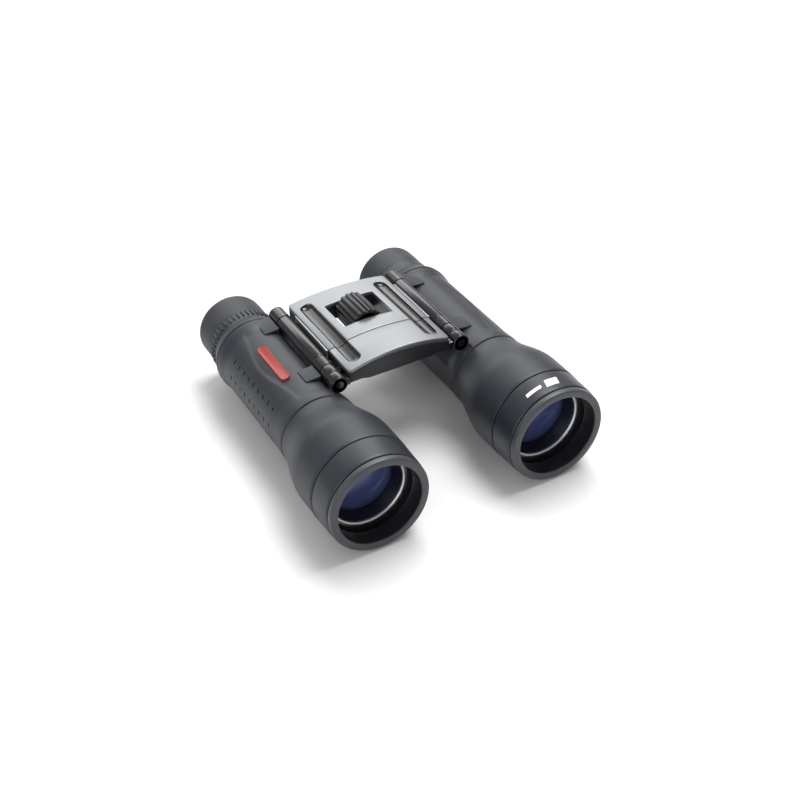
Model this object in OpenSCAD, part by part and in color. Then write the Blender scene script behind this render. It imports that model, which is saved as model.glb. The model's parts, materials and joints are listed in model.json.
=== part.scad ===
// Compact folding roof-prism binoculars with a centre focus wheel and two hinges.
// Front (objective) end at -Y, eyepieces at +Y, +Z up, origin below the middle of the
// whole object, on the surface that the two bells rest on. Millimetres.
// Barrel parts are drawn around their own axis, y = distance behind the front face,
// +x away from the bridge, and then placed to the left (+X) or mirrored to the right (-X).
// Bridge parts are drawn around the middle plane, y = distance behind the front face,
// z = height above the hinge axes.

/* [Barrel] */
// Distance between the two barrel axes when fully open
barrel_spacing = 76; // [70:0.5:92]
// Length of the smooth front sleeve with the rim
sleeve_len = 14.3; // [12:0.1:20]
// Length of the bell behind the front sleeve
bell_len = 34; // [30:0.5:44]
// Length of the middle section that carries the hinges
mid_len = 61.1; // [58:0.1:76]
// Length of the eyepiece behind the middle section
eyepiece_len = 26; // [24:0.5:34]
// Bore radius of the middle section
mid_bore_r = 14.3; // [12.5:0.1:16]
// Wall of the barrel tube
tube_wall = 1; // [0.8:0.1:1.6]
// Rubber thickness on the waist of the middle section
mid_rubber = 0.9; // [0.7:0.1:1.5]
// Flare of the rubber at the front end of the middle section
front_flare = 0.4; // [0:0.1:0.8]
// Flare of the rubber at the rear end of the middle section
rear_flare = 0.8; // [0:0.1:1.2]
// Rubber thickness on the bell
bell_rubber = 1.5; // [1:0.1:2]
// Length of the curve between bell and middle section
taper_len = 21; // [16:0.5:26]
// Width of the seams between the rubber pieces
seam_w = 0.3; // [0.2:0.05:0.6]

/* [Objective] */
// Diameter of the objective glass
objective_d = 32; // [28:0.2:38.4]
// Wall of the sliding cell around the glass
cell_wall = 2.25; // [1.8:0.05:3]
// Thickness of the objective glass at its edge
objective_edge = 5; // [4:0.5:7]
// Radius of the curved front surface of the glass
objective_curve_r = 90; // [70:5:140]
// Width of glass that the lens ring covers
ring_lip = 1.6; // [1:0.1:2.4]
// Thickness of the lens ring
ring_t = 1.5; // [1:0.1:2]
// Depth of the bore that the front rim leaves in front of the cell
rim_depth = 7.2; // [6:0.1:10]
// Thickness of the rim's front flange
rim_flange = 2.4; // [2:0.1:3]
// Travel of the objectives between far and near focus
focus_travel = 2.3; // [1.6:0.1:3]

/* [Eyepiece] */
// Bore radius of the neck that the ocular cell slides in
neck_bore_r = 11.9; // [10:0.1:12.2]
// Wall of the neck
neck_wall = 1.1; // [0.9:0.1:1.5]
// Length of the neck behind the middle section
neck_len = 9.2; // [8:0.1:11]
// Outer radius of the rubber eyecup
eyecup_r = 14.6; // [14.4:0.1:16]
// Outer radius of the grip band in front of the eyecup
grip_r = 15.3; // [14.8:0.1:16]
// Radius of the two ocular lenses
ocular_lens_r = 10.3; // [8.5:0.1:10.4]
// Travel of the right ocular cell each way from the middle
diopter_travel = 1; // [0.5:0.1:1.2]

/* [Hinges] */
// Outer radius of knuckles and hinge tubes
knuckle_r = 3.5; // [3.1:0.05:3.7]
// Radius of the hinge rods
rod_r = 1.5; // [1.25:0.05:1.8]
// Gap between a hinge tube and the barrel's metal tube
knuckle_gap = 0.81; // [0.75:0.01:2]
// Height angle of the hinge as seen from the barrel axis
hinge_angle = 55.2; // [54:0.1:62]
// Distance from the bell to the front face of the hinge
hinge_setback = 3.6; // [2.8:0.1:6]
// Length of the front hinge ring
cap_ring_len = 5.1; // [4:0.1:7]
// Length of the second hinge ring
front_ring_len = 5.6; // [5:0.1:8]
// Length of the barrel's front knuckle
front_knuckle_len = 6.3; // [5.7:0.1:8]
// Length of the barrel's rear knuckle
rear_knuckle_len = 7.6; // [6:0.1:10]
// Thickness of the focus fork
fork_t = 2; // [1.6:0.1:2.4]

/* [Bridge] */
// Gap from the side of the bridge to the hinge axis
bridge_side = 4.6; // [4.4:0.1:7]
// Height of the bridge's crest above the hinge axes
crest_h = 7.2; // [6.9:0.1:8.5]
// Rise of the arched plates from their sides to their crest, at the front
arch_rise = 3.5; // [2:0.1:4.5]
// Rise of the arched plates at the rear end
rear_rise = 2; // [1.6:0.1:4]
// Depth of the bridge's underside below the hinge axes
under_h = 2.1; // [1.6:0.1:2.4]
// Thickness of the cover plates
cover_t = 1.6; // [1.2:0.1:2]
// Length of the front cover plate
front_cover_len = 17; // [14:0.5:19]
// Distance from the middle of the bridge to the middle of a flute
flute_x = 16.9; // [15:0.1:17.6]
// Width of a flute
flute_w = 5.4; // [3.6:0.1:5.8]
// Depth of a flute below the plate
flute_depth = 1.2; // [0.6:0.1:1.4]

/* [Focus wheel] */
// Outer radius of the focus wheel
wheel_r = 7; // [6:0.1:8.4]
// Length of the focus wheel
wheel_len = 16; // [12:0.5:18]
// Number of ribs on the wheel
wheel_ribs = 18; // [12:1:30]
// Height of the wheel axis above the hinge axes
wheel_h = 2.2; // [1.8:0.1:2.8]
// Width of the window beside the wheel, each side
window_side = 3.9; // [2:0.1:5]
// Radius of the focus screw
screw_r = 1.5; // [1.2:0.1:1.8]

/* [Hidden] */

$fn = 72;
lens_facets = 360;            // facets round the sphere of an objective's face
cut = 0.5;                    // how far a cutting shape runs past the face it cuts
run_gap = 0.05;               // radial clearance of a running fit
end_gap = 0.15;               // clearance between the end faces of hinge parts
slide_gap = 0.3;              // clearance left at the end of a travel
taper_steps = 10;             // straight pieces that make up the bell's curve
edge = 0.35;                  // small bevel on the rubber pieces
arch_steps = 12;              // straight pieces in half the bridge's arch

// Stations, as distances behind the front face
bell_start = sleeve_len;
mid_start = bell_start + bell_len;
mid_end = mid_start + mid_len;
overall_len = mid_end + eyepiece_len;
taper_end = mid_start - seam_w / 2;
taper_start = taper_end - taper_len;

// Radii of the barrel
glass_r = objective_d / 2;
cell_r = glass_r + cell_wall;
front_bore_r = cell_r + run_gap;
front_tube_r = front_bore_r + tube_wall;
bell_r = front_tube_r + bell_rubber;
rim_r = bell_r - 0.7;
rim_bore_r = glass_r + 0.8;
mid_tube_r = mid_bore_r + tube_wall;
mid_r = mid_tube_r + mid_rubber;
mid_front_r = mid_r + front_flare;
mid_rear_r = mid_r + rear_flare;

// Objective cell
cell_front = rim_depth + focus_travel + slide_gap;
glass_front = cell_front + ring_t;
glass_back = glass_front + objective_edge;
cell_lip_r = glass_r - 1.4;
head_back = glass_back + 7.7;
tail_r = mid_bore_r - run_gap;
tail_wall = 1.25;

// Hinge
hinge_reach = mid_tube_r + knuckle_gap + knuckle_r;
hinge_dx = hinge_reach * cos(hinge_angle);
hinge_dz = hinge_reach * sin(hinge_angle);
hinge_x = barrel_spacing / 2 - hinge_dx;
hinge_z = bell_r + hinge_dz;
hinge_front = mid_start + hinge_setback;
ring_joint = hinge_front + cap_ring_len;
knuckle_start = ring_joint + front_ring_len;
tube_start = knuckle_start + front_knuckle_len;
hinge_end = mid_end;
tube_end = hinge_end - rear_knuckle_len;
front_lug = [knuckle_start - 2.3, tube_start - 0.3];
rear_lug_start = tube_end - 3.5;
cap_t = 1;
cap_r = knuckle_r - 0.6;
web_w = 5.6;

// Focus fork and the pocket that it slides in
pocket_len = fork_t + focus_travel + 2 * 0.2;
pocket_end = tube_start - (front_knuckle_len - pocket_len) / 2;
pocket_start = pocket_end - pocket_len;
fork_end = pocket_end - 0.2;
fork_start = fork_end - fork_t;
fork_r = knuckle_r - 0.7;
fork_neck_r = rod_r - 0.3;
fork_w = 3;
pocket_gap = 0.15;
tail_end = fork_end + 2.1;

// Prisms and eyepiece
holder_start = tail_end + 2;
ocular_front = mid_end - 6.2;
holder_end = ocular_front - diopter_travel - 1.3;
holder_len = holder_end - holder_start;
prism_half_w = 0.5 * mid_bore_r;
prism_half_h = 0.76 * mid_bore_r;
prism_gap = 0.1;
aperture_r = 0.46 * mid_bore_r;
neck_r = neck_bore_r + neck_wall;
ocular_r = neck_bore_r - run_gap;
field_front = ocular_front + 0.8;
field_back = field_front + 3.9;
eye_front = mid_end + 10;
eye_back = eye_front + 4;
ocular_back = eye_back + 1.6;
grip_end = mid_end + neck_len + 0.4;
spigot_end = grip_end + 3.4;
spigot_r = eyecup_r - 1;
cup_bore_r = neck_bore_r + 0.3;

// Bridge
bridge_x = hinge_x - bridge_side;
bridge_front = hinge_front + 1.3;
plate_seam = bridge_front + front_cover_len;
bridge_end = hinge_end - 1.7;
washer_t = 0.8;
window_front = plate_seam + 8.5;
wheel_front = window_front + washer_t + 0.2;
window_end = wheel_front + wheel_len + washer_t + 0.2;
window_x = wheel_r + window_side;
hub_r = screw_r + 1.5;
flute_front = bridge_front + 3.5;
flute_end = bridge_end - 4.5;
flute_r = (flute_w * flute_w / 4 + flute_depth * flute_depth) / (2 * flute_depth);
block_front = bridge_front - 0.3;
flange_t = 2;
arm_h = 3.2;
flange_start = plate_seam + 0.3;
flange_end = bridge_end - 7.4;
arms = [[block_front, bridge_front + 2.7], [ring_joint + 1.8, knuckle_start - 0.4]];
nut_r = screw_r + 0.8;
nut_start = bridge_front + 4;
nut_len = 9;
screw_front = nut_start - 0.8;
screw_back = window_end + 6.5;
fastener_r = 1;
fastener_head_r = 1.9;
fastener_head_t = 1.2;
fastener_x = min(8, window_x - 2.5);
front_fastener_y = (bridge_front + plate_seam) / 2;
rear_fastener_ys = [(plate_seam + window_front) / 2, (window_end + bridge_end) / 2];

// Badge on the right barrel
badge_len = 25;
badge_w = 4;
badge_t = 0.8;
badge_tilt = 15;
badge_front = mid_start + 18.4;
badge_seat = mid_r - 0.5;

// ---- shared shapes -------------------------------------------------------------

// Turns an outline of [radius, distance] points around the barrel axis.
module turned(points) {
    rotate([-90, 0, 0]) rotate_extrude() polygon(points);
}

// Solid round bar along y.
module bar(r, from, to) {
    translate([0, from, 0]) rotate([-90, 0, 0]) cylinder(r = r, h = to - from);
}

// Round tube along y.
module tube(r, bore, from, to) {
    difference() {
        bar(r, from, to);
        bar(bore, from - cut, to + cut);
    }
}

// Flat outline in x and z, drawn along y.
module along_y(from, to) {
    translate([0, to, 0]) rotate([90, 0, 0]) linear_extrude(to - from) children();
}

// Bell curve between two radii, from the wide end to the narrow end.
function bell_curve(wide, narrow) = [
    for (i = [0:taper_steps])
        [narrow + (wide - narrow) * (1 + cos(180 * i / taper_steps)) / 2,
         taper_start + taper_len * i / taper_steps]
];
function reversed(points) = [for (i = [len(points) - 1:-1:0]) points[i]];

// Puts barrel parts in their place: side is 1 for the left barrel, -1 for the right.
module on_barrel(side) {
    translate([side * barrel_spacing / 2, -overall_len / 2, bell_r])
        mirror([side < 0 ? 1 : 0, 0, 0]) children();
}

// Puts bridge parts in their place.
module on_bridge() {
    translate([0, -overall_len / 2, hinge_z]) children();
}

// Moves a shape to the hinge axis of a barrel.
module at_hinge() {
    translate([-hinge_dx, 0, hinge_dz]) children();
}

// Same, with z pointing from the hinge axis to the barrel axis.
module towards_axis() {
    at_hinge() rotate([0, 90 + hinge_angle, 0]) children();
}

// ---- barrel --------------------------------------------------------------------

module hinge_web(from, to) {
    towards_axis() translate([-web_w / 2, from, knuckle_r / 2])
        cube([web_w, to - from, hinge_reach - mid_bore_r - tube_wall / 2 - knuckle_r / 2]);
}

module barrel_shell() {
    turned(concat(
        [[front_tube_r, rim_flange]], bell_curve(front_tube_r, mid_tube_r),
        [[mid_tube_r, mid_end], [neck_r, mid_end], [neck_r, mid_end + neck_len],
         [neck_bore_r, mid_end + neck_len], [neck_bore_r, mid_end - 2],
         [mid_bore_r, mid_end - 2]],
        reversed(bell_curve(front_bore_r, mid_bore_r)), [[front_bore_r, rim_flange]]
    ));
}

module barrel_body() {
    color("#33353a") difference() {
        union() {
            barrel_shell();
            hinge_web(knuckle_start + end_gap, tube_start - end_gap);
            hinge_web(tube_end + end_gap, mid_end - edge);
            at_hinge() bar(knuckle_r, knuckle_start + end_gap, tube_start - end_gap);
            at_hinge() bar(knuckle_r, tube_end + end_gap, hinge_end);
        }
        at_hinge() bar(rod_r + run_gap, knuckle_start, hinge_end + cut);
        at_hinge() bar(cap_r, hinge_end - cap_t, hinge_end + cut);
        at_hinge() bar(fork_r + pocket_gap, pocket_start, pocket_end);
        fork_slot();
    }
}

module fork_slot() {
    towards_axis() translate([-fork_w / 2 - pocket_gap, pocket_start, 0])
        cube([fork_w + 2 * pocket_gap, pocket_len, hinge_reach - mid_bore_r + 1]);
}

module hinge_cap() {
    color("#222428") at_hinge() bar(cap_r, hinge_end - cap_t, hinge_end);
}

// Rubber block between the barrel's crown and a knuckle.
module lug_block(from, to) {
    at_hinge() along_y(from, to) polygon([
        [0.3, -knuckle_r * 0.9], [knuckle_r * 0.86, knuckle_r * 0.25],
        [hinge_dx - 0.5, mid_r - hinge_dz - 0.1], [hinge_dx - 1, mid_tube_r - hinge_dz],
        [hinge_dx * 0.5, 0.84 * mid_r - hinge_dz], [0.3, 0.7 * mid_r - hinge_dz]
    ]);
}

module mid_armour(has_badge) {
    first = mid_start + seam_w / 2;
    last = mid_end - seam_w / 2;
    color("#4a4d54") difference() {
        union() {
            turned([
                [mid_tube_r - 0.1, first], [mid_front_r - edge, first],
                [mid_front_r, first + edge], [mid_r, first + 8], [mid_r, last - 6],
                [mid_rear_r, last - edge], [mid_rear_r - edge, last],
                [mid_tube_r - 0.1, last]
            ]);
            lug_block(front_lug[0], front_lug[1]);
            lug_block(rear_lug_start, last);
        }
        bar(mid_tube_r, 0, overall_len);
        hinge_web(knuckle_start - end_gap, tube_start);
        hinge_web(tube_end, mid_end + cut);
        at_hinge() bar(knuckle_r + 0.4, hinge_front - focus_travel - 0.5, knuckle_start);
        at_hinge() bar(knuckle_r, knuckle_start - end_gap, mid_end + cut);
        at_hinge() bar(knuckle_r + 0.4, tube_start - end_gap, tube_end + end_gap);
        if (has_badge) badge_seat_cut();
    }
}

module badge_seat_cut() {
    rotate([0, badge_tilt, 0]) translate([-6, badge_front - 1.5, badge_seat])
        cube([12, badge_len + 3, 4]);
}

module badge() {
    color("#c8402f") rotate([0, badge_tilt, 0])
        translate([0, badge_front + badge_w / 2, badge_seat]) linear_extrude(badge_t) {
            circle(d = badge_w);
            translate([0, badge_len - badge_w]) circle(d = badge_w);
            translate([-badge_w / 2, 0]) square([badge_w, badge_len - badge_w]);
        }
}

module bell_armour() {
    first = bell_start + seam_w / 2;
    color("#43464d") turned(concat(
        [[front_tube_r, first], [bell_r - edge, first], [bell_r, first + edge]],
        bell_curve(bell_r, mid_front_r), reversed(bell_curve(front_tube_r, mid_tube_r))
    ));
}

module front_sleeve() {
    first = rim_flange + 0.5;
    last = bell_start - seam_w / 2;
    color("#3c3f46") turned([
        [front_tube_r, first], [rim_r - 0.1, first], [rim_r + 0.2, first + 0.4],
        [bell_r - 0.15, last - edge], [bell_r - 0.5, last], [front_tube_r, last]
    ]);
}

module objective_rim() {
    lip = 0.8;
    color("#5a5d63") turned([
        [rim_bore_r + lip / 2, 0], [rim_r - lip, 0], [rim_r - 0.25, 0.25], [rim_r, lip],
        [rim_r, rim_flange], [front_bore_r, rim_flange], [front_bore_r, rim_depth],
        [rim_bore_r, rim_depth], [rim_bore_r, lip / 2]
    ]);
}

// ---- objective -----------------------------------------------------------------

module objective_cell() {
    color("#17181b") difference() {
        turned([
            [glass_r, cell_front], [cell_r, cell_front], [cell_r, head_back],
            [tail_r, head_back + 0.6], [tail_r, tail_end], [tail_r - tail_wall, tail_end],
            [tail_r - tail_wall, head_back], [cell_lip_r, head_back - 2],
            [cell_lip_r, glass_back], [glass_r, glass_back]
        ]);
        fork_shank(fork_start);
    }
}

module objective_ring() {
    color("silver") tube(glass_r, glass_r - ring_lip, cell_front, glass_front);
}

module objective_lens() {
    color("#3a4a9a") intersection() {
        bar(glass_r, cell_front - 2, glass_back);
        translate([0, glass_front
            + sqrt(pow(objective_curve_r, 2) - pow(glass_r - ring_lip, 2)), 0])
            rotate([90, 0, 0]) sphere(r = objective_curve_r, $fn = lens_facets);
    }
}

module fork_shank(from) {
    towards_axis() translate([-fork_w / 2, from, fork_r * 0.8])
        cube([fork_w, fork_t, hinge_reach - tail_r + tail_wall - fork_r * 0.8 - 0.2]);
}

module focus_fork() {
    color("#b08d45") difference() {
        union() {
            at_hinge() bar(fork_r, fork_start, fork_end);
            fork_shank(fork_start);
        }
        at_hinge() bar(fork_neck_r + run_gap, fork_start - cut, fork_end + cut);
        towards_axis()
            translate([-fork_neck_r - run_gap, fork_start - cut, -knuckle_r - cut])
            cube([2 * (fork_neck_r + run_gap), fork_t + 2 * cut, knuckle_r + cut]);
    }
}

// ---- prisms --------------------------------------------------------------------

module prism_holder() {
    color("#1b1c1f") difference() {
        bar(mid_bore_r, holder_start, holder_end);
        translate([-prism_half_w - prism_gap, holder_start - cut, -prism_half_h - prism_gap])
            cube([2 * (prism_half_w + prism_gap), holder_len - 1.5 + cut,
                  2 * (prism_half_h + prism_gap)]);
        bar(aperture_r, holder_end - 2, holder_end + cut);
    }
}

// Prism outline in y and z, drawn across the barrel.
module prism_block(points) {
    rotate([90, 0, 90]) translate([0, 0, -prism_half_w])
        linear_extrude(2 * prism_half_w) polygon(points);
}

module half_penta_prism() {
    from = holder_start + 0.5;
    split = from + 0.42 * holder_len;
    color("#cfe4ee", 0.5) prism_block([
        [from, -prism_half_h], [from, prism_half_h], [split - 5, prism_half_h],
        [split + 3, -prism_half_h + 4], [split + 1, -prism_half_h]
    ]);
}

module roof_prism() {
    to = holder_end - 1.5;
    split = holder_start + 0.5 + 0.42 * holder_len;
    color("#cfe4ee", 0.5) intersection() {
        prism_block([
            [split - 4, prism_half_h], [to, prism_half_h], [to, -prism_half_h],
            [split + 6, -prism_half_h], [split + 4, -prism_half_h + 4]
        ]);
        along_y(holder_start, holder_end) polygon([
            [-prism_half_w, -prism_half_h], [prism_half_w, -prism_half_h],
            [prism_half_w, prism_half_h - prism_half_w], [0, prism_half_h],
            [-prism_half_w, prism_half_h - prism_half_w]
        ]);
    }
}

// ---- eyepiece ------------------------------------------------------------------

module ocular_cell() {
    lip_r = ocular_lens_r - 1;
    color("#17181b") turned([
        [ocular_lens_r, ocular_front], [ocular_r, ocular_front], [ocular_r, ocular_back],
        [ocular_lens_r, ocular_back], [ocular_lens_r, eye_front], [lip_r, eye_front],
        [lip_r, field_back], [ocular_lens_r, field_back]
    ]);
}

module field_stop() {
    color("#101113") tube(ocular_lens_r, ocular_lens_r * 0.65, ocular_front, field_front);
}

module field_lens() {
    curve_r = 2.6 * ocular_lens_r;
    color("#bcd6e6", 0.5) intersection() {
        bar(ocular_lens_r, field_front, field_back);
        translate([0, field_front + curve_r, 0]) rotate([90, 0, 0]) sphere(r = curve_r);
    }
}

module eye_lens() {
    curve_r = 2.4 * ocular_lens_r;
    color("#5a6bb5", 0.6) intersection() {
        bar(ocular_lens_r, eye_front, eye_back + 1);
        translate([0, eye_back + 1 - curve_r, 0]) rotate([90, 0, 0]) sphere(r = curve_r);
    }
}

module ocular_ring() {
    curve_r = 2.4 * ocular_lens_r;
    color("#202226") difference() {
        tube(ocular_lens_r, ocular_lens_r - 1.4, eye_front, ocular_back);
        translate([0, eye_back + 1 - curve_r, 0]) rotate([90, 0, 0]) sphere(r = curve_r);
    }
}

// Flared ring in front of the eyecup; clearance is its gap on the neck.
module grip_ring(clearance) {
    neck_end = mid_end + neck_len + 0.2;
    turned([
        [neck_r + clearance, mid_end + 0.25], [mid_rear_r - 0.3, mid_end + 0.25],
        [mid_rear_r, mid_end + 0.6], [mid_rear_r - 0.3, mid_end + 1.6],
        [(mid_rear_r + grip_r) / 2, mid_end + 3], [grip_r, mid_end + 4.5],
        [grip_r, grip_end - 0.6], [grip_r - 0.3, grip_end], [spigot_r, grip_end],
        [spigot_r, spigot_end], [cup_bore_r, spigot_end], [cup_bore_r, neck_end],
        [neck_r + clearance, neck_end]
    ]);
}

module eyecup() {
    lip = 1;
    color("#34373d") turned([
        [spigot_r, grip_end], [eyecup_r - 0.2, grip_end], [eyecup_r, grip_end + 0.3],
        [eyecup_r, overall_len - lip], [eyecup_r - 0.3, overall_len - 0.3],
        [eyecup_r - lip, overall_len], [cup_bore_r + lip, overall_len],
        [cup_bore_r + 0.3, overall_len - 0.3], [cup_bore_r, overall_len - lip],
        [cup_bore_r, spigot_end], [spigot_r, spigot_end]
    ]);
}

// ---- bridge --------------------------------------------------------------------

// Height of the bridge's top surface, x from the middle and y behind the front face.
function arch_top(x, y) =
    crest_h - arch_rise + (1 - x * x / (bridge_x * bridge_x))
    * (arch_rise + (rear_rise - arch_rise) * (y - bridge_front) / (bridge_end - bridge_front));

// Solid under the arched top, lowered by a given amount, between two distances.
module arch_solid(drop, from, to) {
    stations = [for (i = [-arch_steps:arch_steps]) bridge_x * i / arch_steps];
    intersection() {
        hull() for (y = [bridge_front - 1, bridge_end + 1]) along_y(y, y + 0.01)
            polygon(concat(
                [for (x = stations) [x, arch_top(x, y) - drop]],
                [[bridge_x, -under_h], [-bridge_x, -under_h]]
            ));
        translate([-bridge_x - 1, from, -under_h - 1])
            cube([2 * bridge_x + 2, to - from, crest_h + under_h + 2]);
    }
}

// Round-ended outline of one flute as seen from above.
module flute_outline(from, to, round_front, round_back) {
    r = flute_w / 2;
    low = round_front ? from + r : from;
    high = round_back ? to - r : to;
    translate([-r, low]) square([flute_w, high - low]);
    if (round_front) translate([0, low]) circle(r = r);
    if (round_back) translate([0, high]) circle(r = r);
}

module flute_slots(from, to, round_front, round_back) {
    for (side = [-1, 1])
        translate([side * flute_x, 0, 0]) linear_extrude(crest_h + 2)
            flute_outline(from, to, round_front, round_back);
}

// Hollow channel that is cut along the top of each flute.
module flute_channels(to) {
    low = arch_top(flute_x, bridge_front);
    high = arch_top(flute_x, bridge_end);
    for (side = [-1, 1])
        translate([side * flute_x, bridge_front, low + flute_r - flute_depth])
            rotate([atan((high - low) / (bridge_end - bridge_front)), 0, 0])
            bar(flute_r, -cut, to - bridge_front + 2 * cut);
}

// Height of the top of a fastener, inside the cover plate.
function fastener_top(y) = arch_top(fastener_x, y) - 0.7;

module fastener_holes(ys) {
    for (side = [-1, 1], y = ys) translate([side * fastener_x, y, -under_h]) {
        cylinder(r = fastener_r, h = fastener_top(y) + under_h);
        translate([0, 0, -cut]) cylinder(r = fastener_head_r, h = fastener_head_t + cut);
    }
}

module fasteners(ys) {
    color("#8a8d92") for (side = [-1, 1], y = ys)
        translate([side * fastener_x, y, -under_h]) difference() {
            union() {
                cylinder(r = fastener_r, h = fastener_top(y) + under_h);
                cylinder(r = fastener_head_r, h = fastener_head_t);
            }
            for (turn = [0, 90]) rotate(turn) translate([-1.2, -0.25, -cut])
                cube([2.4, 0.5, cut + 0.6]);
        }
}

module cover(from, to, flute_from, flute_to, round_front, round_back, fastener_ys) {
    color("#a9adb1") difference() {
        arch_solid(0, from, to);
        arch_solid(cover_t, from - cut, to + cut);
        flute_slots(flute_from, flute_to, round_front, round_back);
        fastener_holes(fastener_ys);
    }
}

module rear_cover() {
    difference() {
        cover(plate_seam + end_gap, bridge_end, plate_seam - cut, flute_end,
              false, true, rear_fastener_ys);
        wheel_window();
    }
}

module front_cover() {
    cover(bridge_front, plate_seam - end_gap, flute_front, plate_seam + cut,
          true, false, [front_fastener_y]);
}

module wheel_window() {
    translate([-window_x, window_front, -under_h - cut])
        cube([2 * window_x, window_end - window_front, crest_h + under_h + 2]);
}

// Solid of a bridge casting: block under the cover, and flutes that fill its slots.
module casting(from, to, flute_from, flute_to, round_front, round_back) {
    arch_solid(cover_t, from, to);
    difference() {
        intersection() {
            flute_slots(flute_from, flute_to, round_front, round_back);
            arch_solid(0, from, to);
        }
        flute_channels(to);
    }
}

module rear_frame() {
    color("#26282d") difference() {
        union() {
            casting(plate_seam + end_gap, bridge_end - 0.4, plate_seam, flute_end,
                    false, true);
            for (side = [-1, 1]) {
                translate([side * hinge_x, 0, 0])
                    bar(knuckle_r, tube_start + end_gap, tube_end - end_gap);
                translate([side > 0 ? bridge_x - 1 : -hinge_x, flange_start, -flange_t])
                    cube([bridge_side + 1, flange_end - flange_start, flange_t]);
            }
        }
        for (side = [-1, 1]) translate([side * hinge_x, 0, 0])
            bar(rod_r + run_gap, tube_start, tube_end);
        translate([0, 0, wheel_h]) bar(screw_r + run_gap, plate_seam, screw_back + 0.5);
        wheel_window();
        fastener_holes(rear_fastener_ys);
    }
}

module front_frame() {
    ring_seam = 0.2;
    color("#26282d") difference() {
        union() {
            casting(block_front, plate_seam - end_gap, flute_front, plate_seam,
                    true, false);
            for (side = [-1, 1]) {
                translate([side * hinge_x, 0, 0])
                    bar(knuckle_r, hinge_front, knuckle_start - end_gap);
                for (arm = arms)
                    translate([side > 0 ? bridge_x - 1 : -hinge_x, arm[0], -flange_t])
                        cube([bridge_side + 1, arm[1] - arm[0], arm_h]);
            }
        }
        for (side = [-1, 1]) translate([side * hinge_x, 0, 0]) {
            bar(rod_r, hinge_front - cut, knuckle_start);
            bar(cap_r, hinge_front - cut, hinge_front + cap_t);
            tube(knuckle_r + cut, knuckle_r - ring_seam, ring_joint - ring_seam, ring_joint);
        }
        translate([0, 0, wheel_h]) {
            bar(nut_r, nut_start, nut_start + nut_len);
            bar(screw_r + run_gap, screw_front - focus_travel, plate_seam);
        }
        fastener_holes([front_fastener_y]);
    }
}

module front_hinge_caps() {
    color("#222428") for (side = [-1, 1]) translate([side * hinge_x, 0, 0])
        bar(cap_r, hinge_front, hinge_front + cap_t);
}

module hinge_rod(side) {
    color("#9a9da3") translate([side * hinge_x, 0, 0]) {
        bar(rod_r, hinge_front + cap_t, fork_start - run_gap);
        bar(fork_neck_r, fork_start - run_gap, fork_end + run_gap);
        bar(rod_r, fork_end + run_gap, hinge_end - cap_t - 0.2);
    }
}

// ---- focus wheel ---------------------------------------------------------------

module focus_wheel() {
    rib_gap_r = 0.28 * wheel_r * 360 / wheel_ribs / 57.3;
    rim_wall = 2;
    hollow = 4;
    wheel_end = wheel_front + wheel_len;
    color("#3b3d42") translate([0, 0, wheel_h]) difference() {
        turned([
            [screw_r, wheel_front], [hub_r, wheel_front], [hub_r, wheel_front + hollow],
            [wheel_r - rim_wall, wheel_front + hollow], [wheel_r - rim_wall, wheel_front],
            [wheel_r - 0.4, wheel_front], [wheel_r, wheel_front + 0.4],
            [wheel_r, wheel_end - 0.4], [wheel_r - 0.4, wheel_end], [screw_r, wheel_end]
        ]);
        for (i = [0:wheel_ribs - 1]) rotate([0, i * 360 / wheel_ribs, 0])
            translate([0, 0, wheel_r]) bar(rib_gap_r, wheel_front - cut, wheel_end - 1.5);
    }
}

module focus_screw() {
    color("#b9bcc0") translate([0, 0, wheel_h]) bar(screw_r, screw_front, screw_back);
}

module focus_nut() {
    color("#b5933f") translate([0, 0, wheel_h])
        tube(nut_r, screw_r + run_gap, nut_start, nut_start + nut_len);
}

module thrust_washers() {
    color("#c9cbce") translate([0, 0, wheel_h])
        for (y = [wheel_front - washer_t, wheel_front + wheel_len])
            tube(hub_r, screw_r, y, y + washer_t);
}

// ---- nodes ---------------------------------------------------------------------

module right() { on_barrel(-1) children(); }
module left() { on_barrel(1) children(); }

right() barrel_body();  // right_barrel_body
right() mid_armour(true);  // right_mid_armour
right() bell_armour();  // right_bell_armour
right() front_sleeve();  // right_front_sleeve
right() objective_rim();  // right_objective_rim
right() objective_cell();  // right_objective_cell
right() objective_lens();  // right_objective_lens
right() objective_ring();  // right_objective_ring
right() focus_fork();  // right_focus_fork
right() prism_holder();  // right_prism_holder
right() roof_prism();  // right_roof_prism
right() half_penta_prism();  // right_half_penta_prism
right() ocular_cell();  // right_ocular_cell
right() field_stop();  // right_field_stop
right() field_lens();  // right_field_lens
right() eye_lens();  // right_eye_lens
right() ocular_ring();  // right_ocular_ring
right() color("#41444b") grip_ring(run_gap);  // right_diopter_ring
right() eyecup();  // right_eyecup
right() hinge_cap();  // right_hinge_cap
right() badge();  // right_badge
left() barrel_body();  // left_barrel_body
left() mid_armour(false);  // left_mid_armour
left() bell_armour();  // left_bell_armour
left() front_sleeve();  // left_front_sleeve
left() objective_rim();  // left_objective_rim
left() objective_cell();  // left_objective_cell
left() objective_lens();  // left_objective_lens
left() objective_ring();  // left_objective_ring
left() focus_fork();  // left_focus_fork
left() prism_holder();  // left_prism_holder
left() roof_prism();  // left_roof_prism
left() half_penta_prism();  // left_half_penta_prism
left() ocular_cell();  // left_ocular_cell
left() field_stop();  // left_field_stop
left() field_lens();  // left_field_lens
left() eye_lens();  // left_eye_lens
left() ocular_ring();  // left_ocular_ring
left() color("#41444b") grip_ring(0);  // left_eyepiece_collar
left() eyecup();  // left_eyecup
left() hinge_cap();  // left_hinge_cap
on_bridge() rear_frame();
on_bridge() rear_cover();
on_bridge() fasteners(rear_fastener_ys);  // rear_cover_screws
on_bridge() front_frame();
on_bridge() front_cover();
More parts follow.
